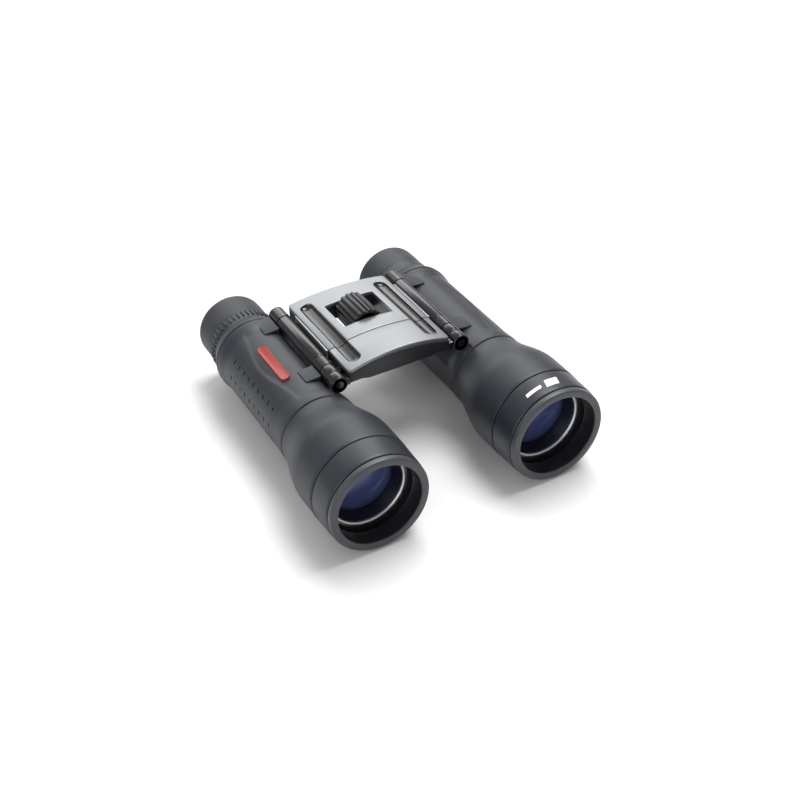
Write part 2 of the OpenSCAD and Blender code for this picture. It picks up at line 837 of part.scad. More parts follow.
on_bridge() fasteners([front_fastener_y]);  // front_cover_screws
on_bridge() focus_wheel();
on_bridge() focus_screw();
on_bridge() focus_nut();
on_bridge() thrust_washers();
on_bridge() hinge_rod(-1);  // right_hinge_rod
on_bridge() hinge_rod(1);  // left_hinge_rod
on_bridge() front_hinge_caps();
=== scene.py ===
"""Folding binoculars: the detailed pieces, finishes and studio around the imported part."""

import json
import math

import bmesh
import bpy
from bpy.props import (
    FloatProperty, FloatVectorProperty, IntProperty, PointerProperty,
)
from mathutils import Matrix, Vector

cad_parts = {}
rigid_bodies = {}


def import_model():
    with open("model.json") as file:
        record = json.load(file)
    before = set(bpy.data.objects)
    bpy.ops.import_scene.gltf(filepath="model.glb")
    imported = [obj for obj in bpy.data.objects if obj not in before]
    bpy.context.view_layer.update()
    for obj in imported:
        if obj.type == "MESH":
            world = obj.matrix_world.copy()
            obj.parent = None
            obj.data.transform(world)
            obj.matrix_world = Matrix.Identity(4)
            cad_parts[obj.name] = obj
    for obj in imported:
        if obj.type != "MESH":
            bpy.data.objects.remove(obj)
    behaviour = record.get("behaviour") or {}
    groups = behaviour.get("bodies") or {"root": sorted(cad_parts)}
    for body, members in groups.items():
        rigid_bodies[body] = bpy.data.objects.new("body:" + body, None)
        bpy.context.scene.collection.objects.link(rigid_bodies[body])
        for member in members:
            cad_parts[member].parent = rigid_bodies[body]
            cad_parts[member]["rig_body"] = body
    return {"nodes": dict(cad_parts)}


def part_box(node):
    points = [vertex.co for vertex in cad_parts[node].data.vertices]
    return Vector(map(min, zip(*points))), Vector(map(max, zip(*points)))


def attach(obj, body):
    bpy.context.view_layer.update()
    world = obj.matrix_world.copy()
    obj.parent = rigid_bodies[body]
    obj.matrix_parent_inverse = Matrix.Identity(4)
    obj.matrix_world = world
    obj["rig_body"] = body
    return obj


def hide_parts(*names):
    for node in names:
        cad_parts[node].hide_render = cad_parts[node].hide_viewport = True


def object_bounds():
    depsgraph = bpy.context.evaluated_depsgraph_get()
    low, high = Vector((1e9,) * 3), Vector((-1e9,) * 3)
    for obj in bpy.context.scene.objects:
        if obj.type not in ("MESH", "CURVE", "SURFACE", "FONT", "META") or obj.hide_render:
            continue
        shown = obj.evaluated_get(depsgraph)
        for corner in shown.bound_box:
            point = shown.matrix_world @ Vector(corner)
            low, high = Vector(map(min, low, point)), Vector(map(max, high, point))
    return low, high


bl_info = {
    "name": "Folding binoculars",
    "version": (1, 0, 0),
    "blender": (4, 5, 0),
    "location": "3D View > Sidebar > Binoculars",
    "description": "Builds the rubber, glass, bridge and studio of folding binoculars",
    "category": "Object",
}

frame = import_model()
CAD_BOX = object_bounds()

# ---- measures taken from the frame -------------------------------------------------
# Outlines are drawn in millimetres, y behind the front face; MM turns them into metres.

MM = 0.001
SIDES = {"right": -1, "left": 1}


def middle(node):
    """Middle of a node's box, in metres."""
    low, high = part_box(node)
    return (low + high) / 2


def half_width(node):
    """Radius of a round node, in millimetres."""
    low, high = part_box(node)
    return (high.x - low.x) / 2 / MM


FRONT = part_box("left_objective_rim")[0].y
AXIS_X = middle("left_objective_rim").x
AXIS_Z = middle("left_objective_rim").z
HINGE_X = middle("left_hinge_rod").x / MM
HINGE_Z = middle("left_hinge_rod").z


def reach(node):
    """Where a node starts and ends, in millimetres behind the front face."""
    low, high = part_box(node)
    return (low.y - FRONT) / MM, (high.y - FRONT) / MM


RIM_R = half_width("left_objective_rim")
BELL_R = half_width("left_bell_armour")
SLEEVE_START, SLEEVE_END = reach("left_front_sleeve")
BELL_START, BELL_END = reach("left_bell_armour")
MID_START, MID_END = reach("left_mid_armour")
RING_START, RING_END = reach("left_objective_ring")
CUP_END = reach("left_eyecup")[1]
CUP_R = half_width("left_eyecup")
GRIP_START = reach("left_eyepiece_collar")[0]
GLASS_END = reach("left_objective_lens")[1]
HINGE_DX = AXIS_X / MM - HINGE_X              # hinge axis from the barrel axis
HINGE_DZ = (HINGE_Z - AXIS_Z) / MM
KNUCKLE_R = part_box("front_frame")[1].x / MM - HINGE_X
REAR_KNUCKLE = 7.6                            # length of the barrel's rear knuckle
TUBE_END = reach("left_hinge_cap")[1] - REAR_KNUCKLE
BRIDGE_X = half_width("front_cover")
BRIDGE_FRONT = reach("front_cover")[0]
PLATE_SEAM = (reach("front_cover")[1] + reach("rear_cover")[0]) / 2
BRIDGE_END = reach("rear_cover")[1]
CREST_H = (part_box("front_cover")[1].z - HINGE_Z) / MM
UNDER_H = (HINGE_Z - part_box("front_cover_screws")[0].z) / MM
TUBE_START = reach("rear_frame")[0]
WHEEL_START, WHEEL_END = reach("focus_wheel")
WHEEL_R = half_width("focus_wheel")
WHEEL_Z = middle("focus_wheel").z
BADGE_START, BADGE_END = reach("right_badge")

METAL_R = 15.3                                # outer radius of the barrel's metal tube
BELL_WALL = 1.5                               # rubber on the bell and the front sleeve
FRONT_LUG = (TUBE_START - 8.6, TUBE_START - 0.3)
REAR_LUG = (TUBE_END - 3.5, MID_END - 0.1)
WINDOW_X = 10.9                               # half width of the window round the wheel
WINDOW = (WHEEL_START - 1, WHEEL_END + 1)     # its ends
SEAM_HALF = 0.2                               # half of the gap between the two plates
CORNER_R = 1.3                                # corners of the plates
HEAD_R = 1.9                                  # radius of the screw heads under the covers

# ---- mesh helpers --------------------------------------------------------------------


def rounded(corners, pieces=4):
    """Closed outline of (radius, y) corners; a third number rounds that corner."""
    outline = []
    for i, corner in enumerate(corners):
        point = Vector(corner[:2])
        if len(corner) < 3:
            outline.append(point)
            continue
        before = Vector(corners[i - 1][:2]) - point
        after = Vector(corners[(i + 1) % len(corners)][:2]) - point
        start = point + before.normalized() * min(corner[2], before.length * 0.49)
        end = point + after.normalized() * min(corner[2], after.length * 0.49)
        for k in range(pieces + 1):
            t = k / pieces
            outline.append(start.lerp(point, t).lerp(point.lerp(end, t), t))
    return outline


def turned(outline, steps=96, change=None, centre=(0, 0)):
    """Mesh of a closed outline turned round the y axis; change(r, y, angle) moves r."""
    bm = bmesh.new()
    rings = []
    for k in range(steps):
        angle = 2 * math.pi * k / steps
        ring = []
        for r, y in outline:
            if change:
                r = change(r, y, angle)
            ring.append(bm.verts.new((
                centre[0] + r * math.cos(angle), y, centre[1] + r * math.sin(angle)
            )))
        rings.append(ring)
    for k in range(steps):
        here, there = rings[k], rings[(k + 1) % steps]
        for i in range(len(outline)):
            j = (i + 1) % len(outline)
            bm.faces.new((here[i], here[j], there[j], there[i]))
    bmesh.ops.remove_doubles(bm, verts=bm.verts, dist=1e-5)
    return bm


def bar(r, start, end, steps, centre=(0, 0)):
    """Mesh of a solid round bar along y."""
    return turned([Vector((0, start)), Vector((r, start)), Vector((r, end)),
                   Vector((0, end))], steps, centre=centre)


def prism(section, start, end, bevel=0, segments=2):
    """Mesh of an outline in x and z drawn along y, with its edges rounded.

    section is the outline, or a function that gives the outline at a distance."""
    bm = bmesh.new()
    ends = []
    for y in (start, end):
        ends.append([bm.verts.new((x, y, z)) for x, z in (section(y) if callable(section)
                                                          else section)])
    count = len(ends[0])
    for i in range(count):
        j = (i + 1) % count
        bm.faces.new((ends[0][i], ends[0][j], ends[1][j], ends[1][i]))
    bm.faces.new(ends[0])
    bm.faces.new(reversed(ends[1]))
    bmesh.ops.recalc_face_normals(bm, faces=bm.faces)
    if bevel:
        sharp = [e for e in bm.edges if e.calc_face_angle(0) > math.radians(25)]
        bmesh.ops.bevel(bm, geom=sharp, offset=bevel, segments=segments,
                        profile=0.5, affect="EDGES", clamp_overlap=True)
    return bm


def joined(*meshes):
    """One mesh of several; the given ones are used up."""
    whole = bmesh.new()
    for bm in meshes:
        piece = bpy.data.meshes.new("part")
        bm.to_mesh(piece)
        bm.free()
        whole.from_mesh(piece)
        bpy.data.meshes.remove(piece)
    return whole


def from_mesh(mesh):
    """Editable copy of a mesh, with its coincident points merged."""
    bm = bmesh.new()
    bm.from_mesh(mesh)
    bmesh.ops.remove_doubles(bm, verts=bm.verts, dist=1e-7)
    return bm


def barrel_place(side):
    """Matrix from a barrel's own millimetres, x outwards, to the frame."""
    return (Matrix.Translation((side * AXIS_X, FRONT, AXIS_Z))
            @ Matrix.Diagonal((side * MM, MM, MM, 1)))


def bridge_place():
    """Matrix from the bridge's millimetres, z above the hinge axes, to the frame."""
    return Matrix.Translation((0, FRONT, HINGE_Z)) @ Matrix.Diagonal((MM, MM, MM, 1))


def object_from(bm, name, materials, place=None, sharp=32, pick=None, tidy=True):
    """Finished object: placed, outward faces, smooth apart from sharp edges."""
    if place is not None:
        bmesh.ops.transform(bm, matrix=place, verts=bm.verts)
    if tidy:
        bmesh.ops.recalc_face_normals(bm, faces=bm.faces)
    limit = math.radians(sharp)
    for face in bm.faces:
        face.smooth = True
        if pick:
            face.material_index = pick(face)
    for edge in bm.edges:
        edge.smooth = edge.calc_face_angle(0) < limit
    mesh = bpy.data.meshes.new(name)
    bm.to_mesh(mesh)
    bm.free()
    for material in materials:
        mesh.materials.append(material)
    made = bpy.data.objects.new(name, mesh)
    bpy.context.scene.collection.objects.link(made)
    return made


def settle(made, body, slot, *nodes):
    """Gives a piece its body and hides the CAD nodes that it stands for; slot, its record
    finish, is not used.
    """
    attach(made, body)
    if nodes:
        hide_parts(*nodes)
    return made


def cut_away(bm, cutters):
    """Mesh less the cutters' meshes, by an exact boolean."""
    objects = []
    for part, name in ((bm, "body"), (cutters, "cutters")):
        bmesh.ops.recalc_face_normals(part, faces=part.faces)
        mesh = bpy.data.meshes.new(name)
        part.to_mesh(mesh)
        part.free()
        made = bpy.data.objects.new(name, mesh)
        bpy.context.scene.collection.objects.link(made)
        objects.append(made)
    body, tool = objects
    modifier = body.modifiers.new("cut", "BOOLEAN")
    modifier.operation = "DIFFERENCE"
    modifier.solver = "EXACT"
    modifier.object = tool
    result = bpy.data.meshes.new_from_object(
        body.evaluated_get(bpy.context.evaluated_depsgraph_get())
    )
    for made in objects:
        bpy.data.objects.remove(made)
    out = bmesh.new()
    out.from_mesh(result)
    bpy.data.meshes.remove(result)
    return out


def smooth_step(value):
    """Eases from 0 to 1 while value goes from 0 to 1."""
    t = min(1, max(0, value))
    return t * t * (3 - 2 * t)


# ---- repeats, by Geometry Nodes ------------------------------------------------------

REPEAT_INPUTS = (
    ("Shape", "NodeSocketObject", None), ("Material", "NodeSocketMaterial", None),
    ("Around", "NodeSocketInt", 1), ("Along", "NodeSocketInt", 1),
    ("First Angle", "NodeSocketFloat", 0.0), ("Angle Step", "NodeSocketFloat", 0.0),
    ("Radius", "NodeSocketFloat", 1.0), ("First Distance", "NodeSocketFloat", 0.0),
    ("Pitch", "NodeSocketFloat", 1.0),
)


def repeat_tree():
    """Node tree that repeats a shape round the y axis and along it."""
    tree = bpy.data.node_groups.get("Repeat Round Axis")
    if tree:
        return tree
    tree = bpy.data.node_groups.new("Repeat Round Axis", "GeometryNodeTree")
    for name, kind, value in REPEAT_INPUTS:
        socket = tree.interface.new_socket(name=name, in_out="INPUT", socket_type=kind)
        if value is not None:
            socket.default_value = value
    tree.interface.new_socket(name="Geometry", in_out="OUTPUT",
                              socket_type="NodeSocketGeometry")
    start = tree.nodes.new("NodeGroupInput")
    end = tree.nodes.new("NodeGroupOutput")

    def maths(operation, first, second=None):
        node = tree.nodes.new("ShaderNodeMath")
        node.operation = operation
        for socket, value in zip(node.inputs, (first, second)):
            if isinstance(value, (int, float)):
                socket.default_value = value
            elif value is not None:
                tree.links.new(value, socket)
        return node.outputs[0]

    given = start.outputs
    index = tree.nodes.new("GeometryNodeInputIndex").outputs[0]
    place_round = maths("FLOORED_MODULO", index, given["Around"])
    place_along = maths("FLOOR", maths("DIVIDE", index, given["Around"]))
    angle = maths("ADD", given["First Angle"],
                  maths("MULTIPLY", place_round, given["Angle Step"]))
    distance = maths("ADD", given["First Distance"],
                     maths("MULTIPLY", place_along, given["Pitch"]))
    position = tree.nodes.new("ShaderNodeCombineXYZ")
    tree.links.new(maths("MULTIPLY", given["Radius"], maths("COSINE", angle)),
                   position.inputs[0])
    tree.links.new(distance, position.inputs[1])
    tree.links.new(maths("MULTIPLY", given["Radius"], maths("SINE", angle)),
                   position.inputs[2])
    turn = tree.nodes.new("ShaderNodeCombineXYZ")
    tree.links.new(maths("MULTIPLY", angle, -1.0), turn.inputs[1])
    points = tree.nodes.new("GeometryNodePoints")
    tree.links.new(maths("MULTIPLY", given["Around"], given["Along"]),
                   points.inputs["Count"])
    tree.links.new(position.outputs[0], points.inputs["Position"])
    shape = tree.nodes.new("GeometryNodeObjectInfo")
    tree.links.new(given["Shape"], shape.inputs["Object"])
    place = tree.nodes.new("GeometryNodeInstanceOnPoints")
    tree.links.new(points.outputs[0], place.inputs["Points"])
    tree.links.new(shape.outputs["Geometry"], place.inputs["Instance"])
    tree.links.new(turn.outputs[0], place.inputs["Rotation"])
    real = tree.nodes.new("GeometryNodeRealizeInstances")
    paint = tree.nodes.new("GeometryNodeSetMaterial")
    tree.links.new(place.outputs[0], real.inputs[0])
    tree.links.new(real.outputs[0], paint.inputs["Geometry"])
    tree.links.new(given["Material"], paint.inputs["Material"])
    tree.links.new(paint.outputs[0], end.inputs[0])
    return tree


def repeated(shape, material, **values):
    """Mesh of a shape repeated by the node tree; values are the tree's named inputs."""
    mesh = bpy.data.meshes.new("shape")
    shape.to_mesh(mesh)
    shape.free()
    model = bpy.data.objects.new("shape", mesh)
    holder = bpy.data.objects.new("holder", bpy.data.meshes.new("holder"))
    for made in (model, holder):
        bpy.context.scene.collection.objects.link(made)
    modifier = holder.modifiers.new("repeat", "NODES")
    modifier.node_group = repeat_tree()
    values.update({"Shape": model, "Material": material})
    for item in modifier.node_group.interface.items_tree:
        if item.in_out == "INPUT":
            name = item.name
            if name.replace(" ", "_") in values:
                name = name.replace(" ", "_")
            if name in values:
                modifier[item.identifier] = values[name]
    result = bpy.data.meshes.new_from_object(
        holder.evaluated_get(bpy.context.evaluated_depsgraph_get())
    )
    holder.modifiers.remove(modifier)
    for made in (holder, model):
        bpy.data.objects.remove(made)
    bm = bmesh.new()
    bm.from_mesh(result)
    bpy.data.meshes.remove(result)
    return bm


# ---- finishes ------------------------------------------------------------------------


def grain_group():
    """Shader group: cloudy colour variation, fine grain height and a dust mask."""
    group = bpy.data.node_groups.get("Moulded Grain")
    if group:
        return group
    group = bpy.data.node_groups.new("Moulded Grain", "ShaderNodeTree")
    for name, value in (("Grain Scale", 2500.0), ("Cloud Scale", 60.0), ("Dust", 0.2)):
        socket = group.interface.new_socket(name=name, in_out="INPUT",
                                            socket_type="NodeSocketFloat")
        socket.default_value = value
    for name in ("Variation", "Height", "Dust"):
        group.interface.new_socket(name=name, in_out="OUTPUT",
                                   socket_type="NodeSocketFloat")
    nodes, links = group.nodes, group.links
    given = nodes.new("NodeGroupInput").outputs
    out = nodes.new("NodeGroupOutput").inputs
    place = nodes.new("ShaderNodeTexCoord").outputs["Object"]

    def noise(scale, detail):
        node = nodes.new("ShaderNodeTexNoise")
        node.inputs["Detail"].default_value = detail
        links.new(place, node.inputs["Vector"])
        links.new(scale, node.inputs["Scale"])
        return node.outputs[0]

    clouds = noise(given["Cloud Scale"], 3)
    links.new(clouds, out["Variation"])
    links.new(noise(given["Grain Scale"], 2), out["Height"])
    facing = nodes.new("ShaderNodeSeparateXYZ")
    links.new(nodes.new("ShaderNodeNewGeometry").outputs["Normal"], facing.inputs[0])
    upward = nodes.new("ShaderNodeMapRange")
    upward.inputs["From Min"].default_value = 0.3
    links.new(facing.outputs[2], upward.inputs["Value"])
    links.new(given["Dust"], upward.inputs["To Max"])
    speck = nodes.new("ShaderNodeMath")
    speck.operation = "MULTIPLY"
    links.new(upward.outputs[0], speck.inputs[0])
    links.new(clouds, speck.inputs[1])
    links.new(speck.outputs[0], out["Dust"])
    return group


def finish(name, colour, accent=None, rough=(0.4, 0.5), grain=2500, clouds=60, bump=0.1,
           dust=0.1, depth=0.00005, **plain):
    """Material with cloudy colour, roughness variation, fine grain and a little dust.

    plain sets the shader's own sockets, by their names with _ for a space."""
    material = bpy.data.materials.new(name)
    material.use_nodes = True
    nodes, links = material.node_tree.nodes, material.node_tree.links
    shader = nodes["Principled BSDF"]
    surface = nodes.new("ShaderNodeGroup")
    surface.node_tree = grain_group()
    surface.inputs["Grain Scale"].default_value = grain
    surface.inputs["Cloud Scale"].default_value = clouds
    surface.inputs["Dust"].default_value = dust
    accent = accent or tuple(c * 1.25 for c in colour)
    base = nodes.new("ShaderNodeMix")
    base.data_type = "RGBA"
    base.inputs["A"].default_value = (*colour, 1)
    base.inputs["B"].default_value = (*accent, 1)
    links.new(surface.outputs["Variation"], base.inputs["Factor"])
    dusty = nodes.new("ShaderNodeMix")
    dusty.data_type = "RGBA"
    dusty.inputs["B"].default_value = (0.42, 0.42, 0.43, 1)
    links.new(surface.outputs["Dust"], dusty.inputs["Factor"])
    links.new(base.outputs["Result"], dusty.inputs["A"])
    links.new(dusty.outputs["Result"], shader.inputs["Base Color"])
    gloss = nodes.new("ShaderNodeMapRange")
    gloss.inputs["To Min"].default_value = rough[0]
    gloss.inputs["To Max"].default_value = rough[1]
    links.new(surface.outputs["Variation"], gloss.inputs["Value"])
    links.new(gloss.outputs[0], shader.inputs["Roughness"])
    relief = nodes.new("ShaderNodeBump")
    relief.inputs["Strength"].default_value = bump
    relief.inputs["Distance"].default_value = depth
    links.new(surface.outputs["Height"], relief.inputs["Height"])
    links.new(relief.outputs[0], shader.inputs["Normal"])
    for socket, value in plain.items():
        shader.inputs[socket.replace("_", " ")].default_value = value
    return material


def painted_edge_shade(material, side, low, high, near, far):
    """Changes a material's colour with the distance from a barrel's axis; it paints shade
    that darkens the glass towards its edge.
    """
    nodes, links = material.node_tree.nodes, material.node_tree.links
    place = nodes.new("ShaderNodeMapping")
    place.inputs["Location"].default_value = (-side * AXIS_X, 0, -AXIS_Z)
    place.inputs["Scale"].default_value = (1, 0, 1)
    links.new(nodes.new("ShaderNodeTexCoord").outputs["Object"], place.inputs["Vector"])
    length = nodes.new("ShaderNodeVectorMath")
    length.operation = "LENGTH"
    links.new(place.outputs[0], length.inputs[0])
    share = nodes.new("ShaderNodeMapRange")
    share.inputs["From Min"].default_value = low * MM
    share.inputs["From Max"].default_value = high * MM
    links.new(length.outputs["Value"], share.inputs["Value"])
    tint = nodes.new("ShaderNodeMix")
    tint.data_type = "RGBA"
    tint.inputs["A"].default_value = (*near, 1)
    tint.inputs["B"].default_value = (*far, 1)
    links.new(share.outputs[0], tint.inputs["Factor"])
    links.new(tint.outputs["Result"], nodes["Principled BSDF"].inputs["Base Color"])


class Finishes:
    """The materials, made once when they are first asked for."""

    made = {}

    @classmethod
    def get(cls, name):
        """Material of that name."""
        if name not in cls.made:
            cls.made[name] = cls.build(name)
        return cls.made[name]

    @classmethod
    def build(cls, name):
        """Makes a material from the settings."""
        colours = bpy.context.scene.binocular_finishes
        rubber = tuple(colours.rubber)
        metal = tuple(colours.cover)
        gloss = tuple(colours.gloss)
        if name == "armour rubber":
            return finish(name, rubber, rough=(0.42, 0.52), bump=0.25, dust=0.06)
        if name == "sleeve rubber":
            return finish(name, tuple(c * 0.95 for c in rubber), rough=(0.36, 0.44),
                          bump=0.12, dust=0.05)
        if name == "eyecup rubber":
            return finish(name, tuple(c * 1.05 for c in rubber), rough=(0.5, 0.62),
                          bump=0.3, dust=0.1)
        if name == "rim plastic":
            return finish(name, (0.036, 0.039, 0.045), rough=(0.36, 0.44), bump=0.1)
        if name == "matt black":
            return finish(name, (0.006, 0.006, 0.007), rough=(0.5, 0.7), bump=0.2,
                          dust=0)
        # painted shade: the rim's bore is its own plastic darkened to near-black for the
        # shade that falls inside it
        if name == "bore black":
            return finish(name, (0.008, 0.008, 0.009), rough=(0.3, 0.42), bump=0.1,
                          dust=0)
        if name == "navy baffle":
            return finish(name, (0.004, 0.005, 0.018), rough=(0.35, 0.45), bump=0.05,
                          dust=0)
        if name == "bright ring":
            return finish(name, (0.5, 0.51, 0.53), rough=(0.26, 0.36), bump=0.08,
                          dust=0, Metallic=1.0)
        if name == "brass":
            return finish(name, (0.6, 0.42, 0.17), rough=(0.25, 0.4), bump=0.1,
                          dust=0.05, Metallic=1.0)
        if name == "steel":
            return finish(name, (0.5, 0.51, 0.52), rough=(0.24, 0.36), bump=0.1,
                          dust=0.03, Metallic=1.0)
        if name == "gloss black":
            return finish(name, gloss, rough=(0.16, 0.24), grain=900, bump=0.06,
                          dust=0.02, Coat_Weight=0.2, Coat_Roughness=0.12)
        if name == "bridge black":
            return finish(name, tuple(colours.casting), rough=(0.34, 0.45), bump=0.15,
                          dust=0.03)
        if name == "cover metal":
            return finish(name, metal, tuple(c * 1.12 for c in metal),
                          rough=(0.34, 0.42), grain=5000, clouds=40, bump=0.12,
                          dust=0.04, Metallic=0.75)
        if name == "wheel plastic":
            return finish(name, (0.012, 0.0125, 0.014), rough=(0.28, 0.38), bump=0.15,
                          dust=0.05)
        if name == "badge red":
            return finish(name, tuple(colours.badge), rough=(0.3, 0.42), bump=0.08,
                          dust=0.08)
        if name == "white print":
            return finish(name, (0.75, 0.76, 0.78), rough=(0.4, 0.5), bump=0.05, dust=0)
        if name == "prism glass":
            return finish(name, (0.8, 0.88, 0.92), rough=(0.02, 0.04), bump=0,
                          dust=0, Transmission_Weight=1.0, IOR=1.57)
        if name == "eye glass":
            return finish(name, (0.35, 0.42, 0.72), rough=(0.02, 0.05), bump=0,
                          dust=0, Transmission_Weight=0.85, IOR=1.52)
        raise RuntimeError("there is no finish called " + name)


def glass_finish(side):
    """Coated objective glass: blue-violet in the middle, darkened to navy towards its edge
    by painted shade from the ring and baffle round it.
    """
    colours = bpy.context.scene.binocular_finishes
    name = "objective glass " + ("right" if side < 0 else "left")
    material = finish(name, tuple(colours.coating), rough=(0.18, 0.26), bump=0.02,
                      dust=0, Metallic=0.1, Coat_Weight=0.15, Coat_Roughness=0.1)
    # painted shade: the glass's colour halves towards its edge, for the shade of the baffle
    # round it
    painted_edge_shade(material, side, 10.5, 12.8, tuple(colours.coating),
                tuple(c * 0.5 for c in colours.coating))
    return material


# ---- settings ------------------------------------------------------------------------


class BarrelSettings(bpy.types.PropertyGroup):
    """Sizes of the rubber armour, in millimetres."""

    waist_r: FloatProperty(
        name="Waist radius", description="Armour radius between its flared ends",
        default=16.2, min=15.6, max=17)
    front_flare: FloatProperty(
        name="Front flare", description="Growth of the radius at the bell", default=0.4)
    rear_flare: FloatProperty(
        name="Rear flare", description="Growth of the radius at the eyepiece",
        default=0.8)
    panel_depth: FloatProperty(
        name="Panel depth", description="Depth of the inset panel round the badge",
        default=0.45)
    dash_rows: IntProperty(
        name="Dash rows", description="Rows of grip slots on a barrel", default=3)
    dash_count: IntProperty(
        name="Dashes in a row", description="Grip slots in a row", default=9)
    dash_start: FloatProperty(
        name="First slot", description="Distance of the first slot", default=60.7)
    dash_pitch: FloatProperty(
        name="Dash pitch", description="Distance between grip slots", default=4.51)
    dash_angle: FloatProperty(
        name="First row", description="Angle of the first row from the top",
        default=math.radians(57), subtype="ANGLE", unit="ROTATION")
    dash_step: FloatProperty(
        name="Row step", description="Angle between the rows",
        default=math.radians(25.5), subtype="ANGLE", unit="ROTATION")


class BridgeSettings(bpy.types.PropertyGroup):
    """Sizes of the bridge, in millimetres."""

    front_rise: FloatProperty(
        name="Front rise", description="Rise of the arch at the front", default=3.5)
    rear_rise: FloatProperty(
        name="Rear rise", description="Rise of the arch at the rear", default=2.0)
    plate_t: FloatProperty(
        name="Plate thickness", description="Thickness of the covers", default=1.6)
    plate_edge: FloatProperty(
        name="Plate edge", description="Rounding of the plates' edges", default=0.3)
    flute_x: FloatProperty(
        name="Flute place", description="Middle of a flute from the bridge's middle",
        default=16.9)
    flute_w: FloatProperty(
        name="Flute width", description="Width of a flute", default=5.4)
    flute_depth: FloatProperty(
        name="Flute depth", description="Depth of the hollow flute", default=1.35)


class WheelSettings(bpy.types.PropertyGroup):
    """Sizes of the focus wheel, in millimetres."""

    ribs: IntProperty(name="Ribs", description="Ribs on the wheel", default=18)
    rib_h: FloatProperty(name="Rib height", description="Height of a rib", default=0.8)
    rim_t: FloatProperty(name="Rim", description="Wall of the hollow end", default=1.9)


class FinishSettings(bpy.types.PropertyGroup):
    """Colours of the main finishes."""

    rubber: FloatVectorProperty(
        name="Rubber", description="Slate rubber of the barrels", subtype="COLOR",
        default=(0.011, 0.0138, 0.0205), min=0, max=1)
    cover: FloatVectorProperty(
        name="Cover plates", description="Satin metal of the bridge", subtype="COLOR",
        default=(0.25, 0.26, 0.27), min=0, max=1)
    gloss: FloatVectorProperty(
        name="Hinges", description="Gloss black of hinges and flutes", subtype="COLOR",
        default=(0.006, 0.0063, 0.008), min=0, max=1)
    casting: FloatVectorProperty(
        name="Bridge body", description="Dark body under the plates", subtype="COLOR",
        default=(0.013, 0.011, 0.016), min=0, max=1)
    badge: FloatVectorProperty(
        name="Badge", description="Raised bar on the right barrel", subtype="COLOR",
        default=(0.29, 0.016, 0.010), min=0, max=1)
    coating: FloatVectorProperty(
        name="Coating", description="Coating of the objective glass", subtype="COLOR",
        default=(0.055, 0.075, 0.21), min=0, max=1)


# ---- rubber --------------------------------------------------------------------------


def bell_radius(y, wide, narrow):
    """Radius of the bell at a distance, eased between its two ends."""
    start = BELL_END - 21
    return narrow + (wide - narrow) * (1 - smooth_step((y - start) / (BELL_END - start)))


def front_sleeve():
    """Smooth sleeve behind the front rim."""
    inner = BELL_R - BELL_WALL
    return turned(rounded([
        (inner, SLEEVE_START), (RIM_R - 0.1, SLEEVE_START, 0.2),
        (RIM_R + 0.25, SLEEVE_START + 0.6, 0.5),
        (BELL_R - 0.15, SLEEVE_END - 0.5, 0.3), (BELL_R - 0.55, SLEEVE_END, 0.15),
        (inner, SLEEVE_END),
    ]), 128)


def bell():
    """Bell that flares from the middle section to the front sleeve."""
    narrow = bpy.context.scene.binocular_barrels.waist_r + 0.4
    inner = BELL_R - BELL_WALL
    outer = [(bell_radius(y, BELL_R, narrow), y) for y in
             [BELL_END - 0.4 - i * (BELL_END - BELL_START - 1) / 40 for i in range(41)]]
    return turned(
        [Vector((METAL_R, BELL_END)), Vector((narrow - 0.4, BELL_END))]
        + [Vector(p) for p in outer]
        + [Vector((BELL_R - 0.35, BELL_START)), Vector((inner, BELL_START))]
        + [Vector((bell_radius(y, inner, METAL_R), y)) for y in
           [BELL_START + 1 + i * (BELL_END - BELL_START - 2) / 16 for i in range(17)]],
        128)


def armour_radius(y):
    """Radius of the middle armour without its panel."""
    sizes = bpy.context.scene.binocular_barrels
    return (sizes.waist_r
            + sizes.front_flare * (1 - smooth_step((y - MID_START) / 9))
            + sizes.rear_flare * smooth_step((y - MID_END + 7) / 6.5))


def panel_share(y, angle):
    """1 inside the inset panel round the badge, 0 outside it, eased between.

    The angle is measured from the top towards the outside, in degrees."""
    outline = 21 + 17 * math.exp(-((y - 81) / 17) ** 2)
    across = smooth_step((outline - angle) / 5)
    inner = smooth_step((angle + 75) / 6)
    along = smooth_step((y - MID_START - 3) / 5) * smooth_step((MID_END - 3.5 - y) / 4)
    return across * inner * along


def lug(start, end):
    """Rubber block that carries a knuckle, from the barrel's crown to the hinge."""
    waist = bpy.context.scene.binocular_barrels.waist_r
    clear = KNUCKLE_R + 0.35
    outline = []
    for k in range(9):
        turn = math.radians(-92 + 105 * k / 8)
        outline.append((-HINGE_DX + clear * math.cos(turn),
                        HINGE_DZ + clear * math.sin(turn)))
    outline += [(-HINGE_DX + 4.4, HINGE_DZ + 0.55), (-0.9, waist),
                (-1.6, waist - 1.2), (-HINGE_DX * 0.5, waist * 0.82),
                (-HINGE_DX, waist * 0.7)]
    return prism(outline, start, end, 0.35, 3)


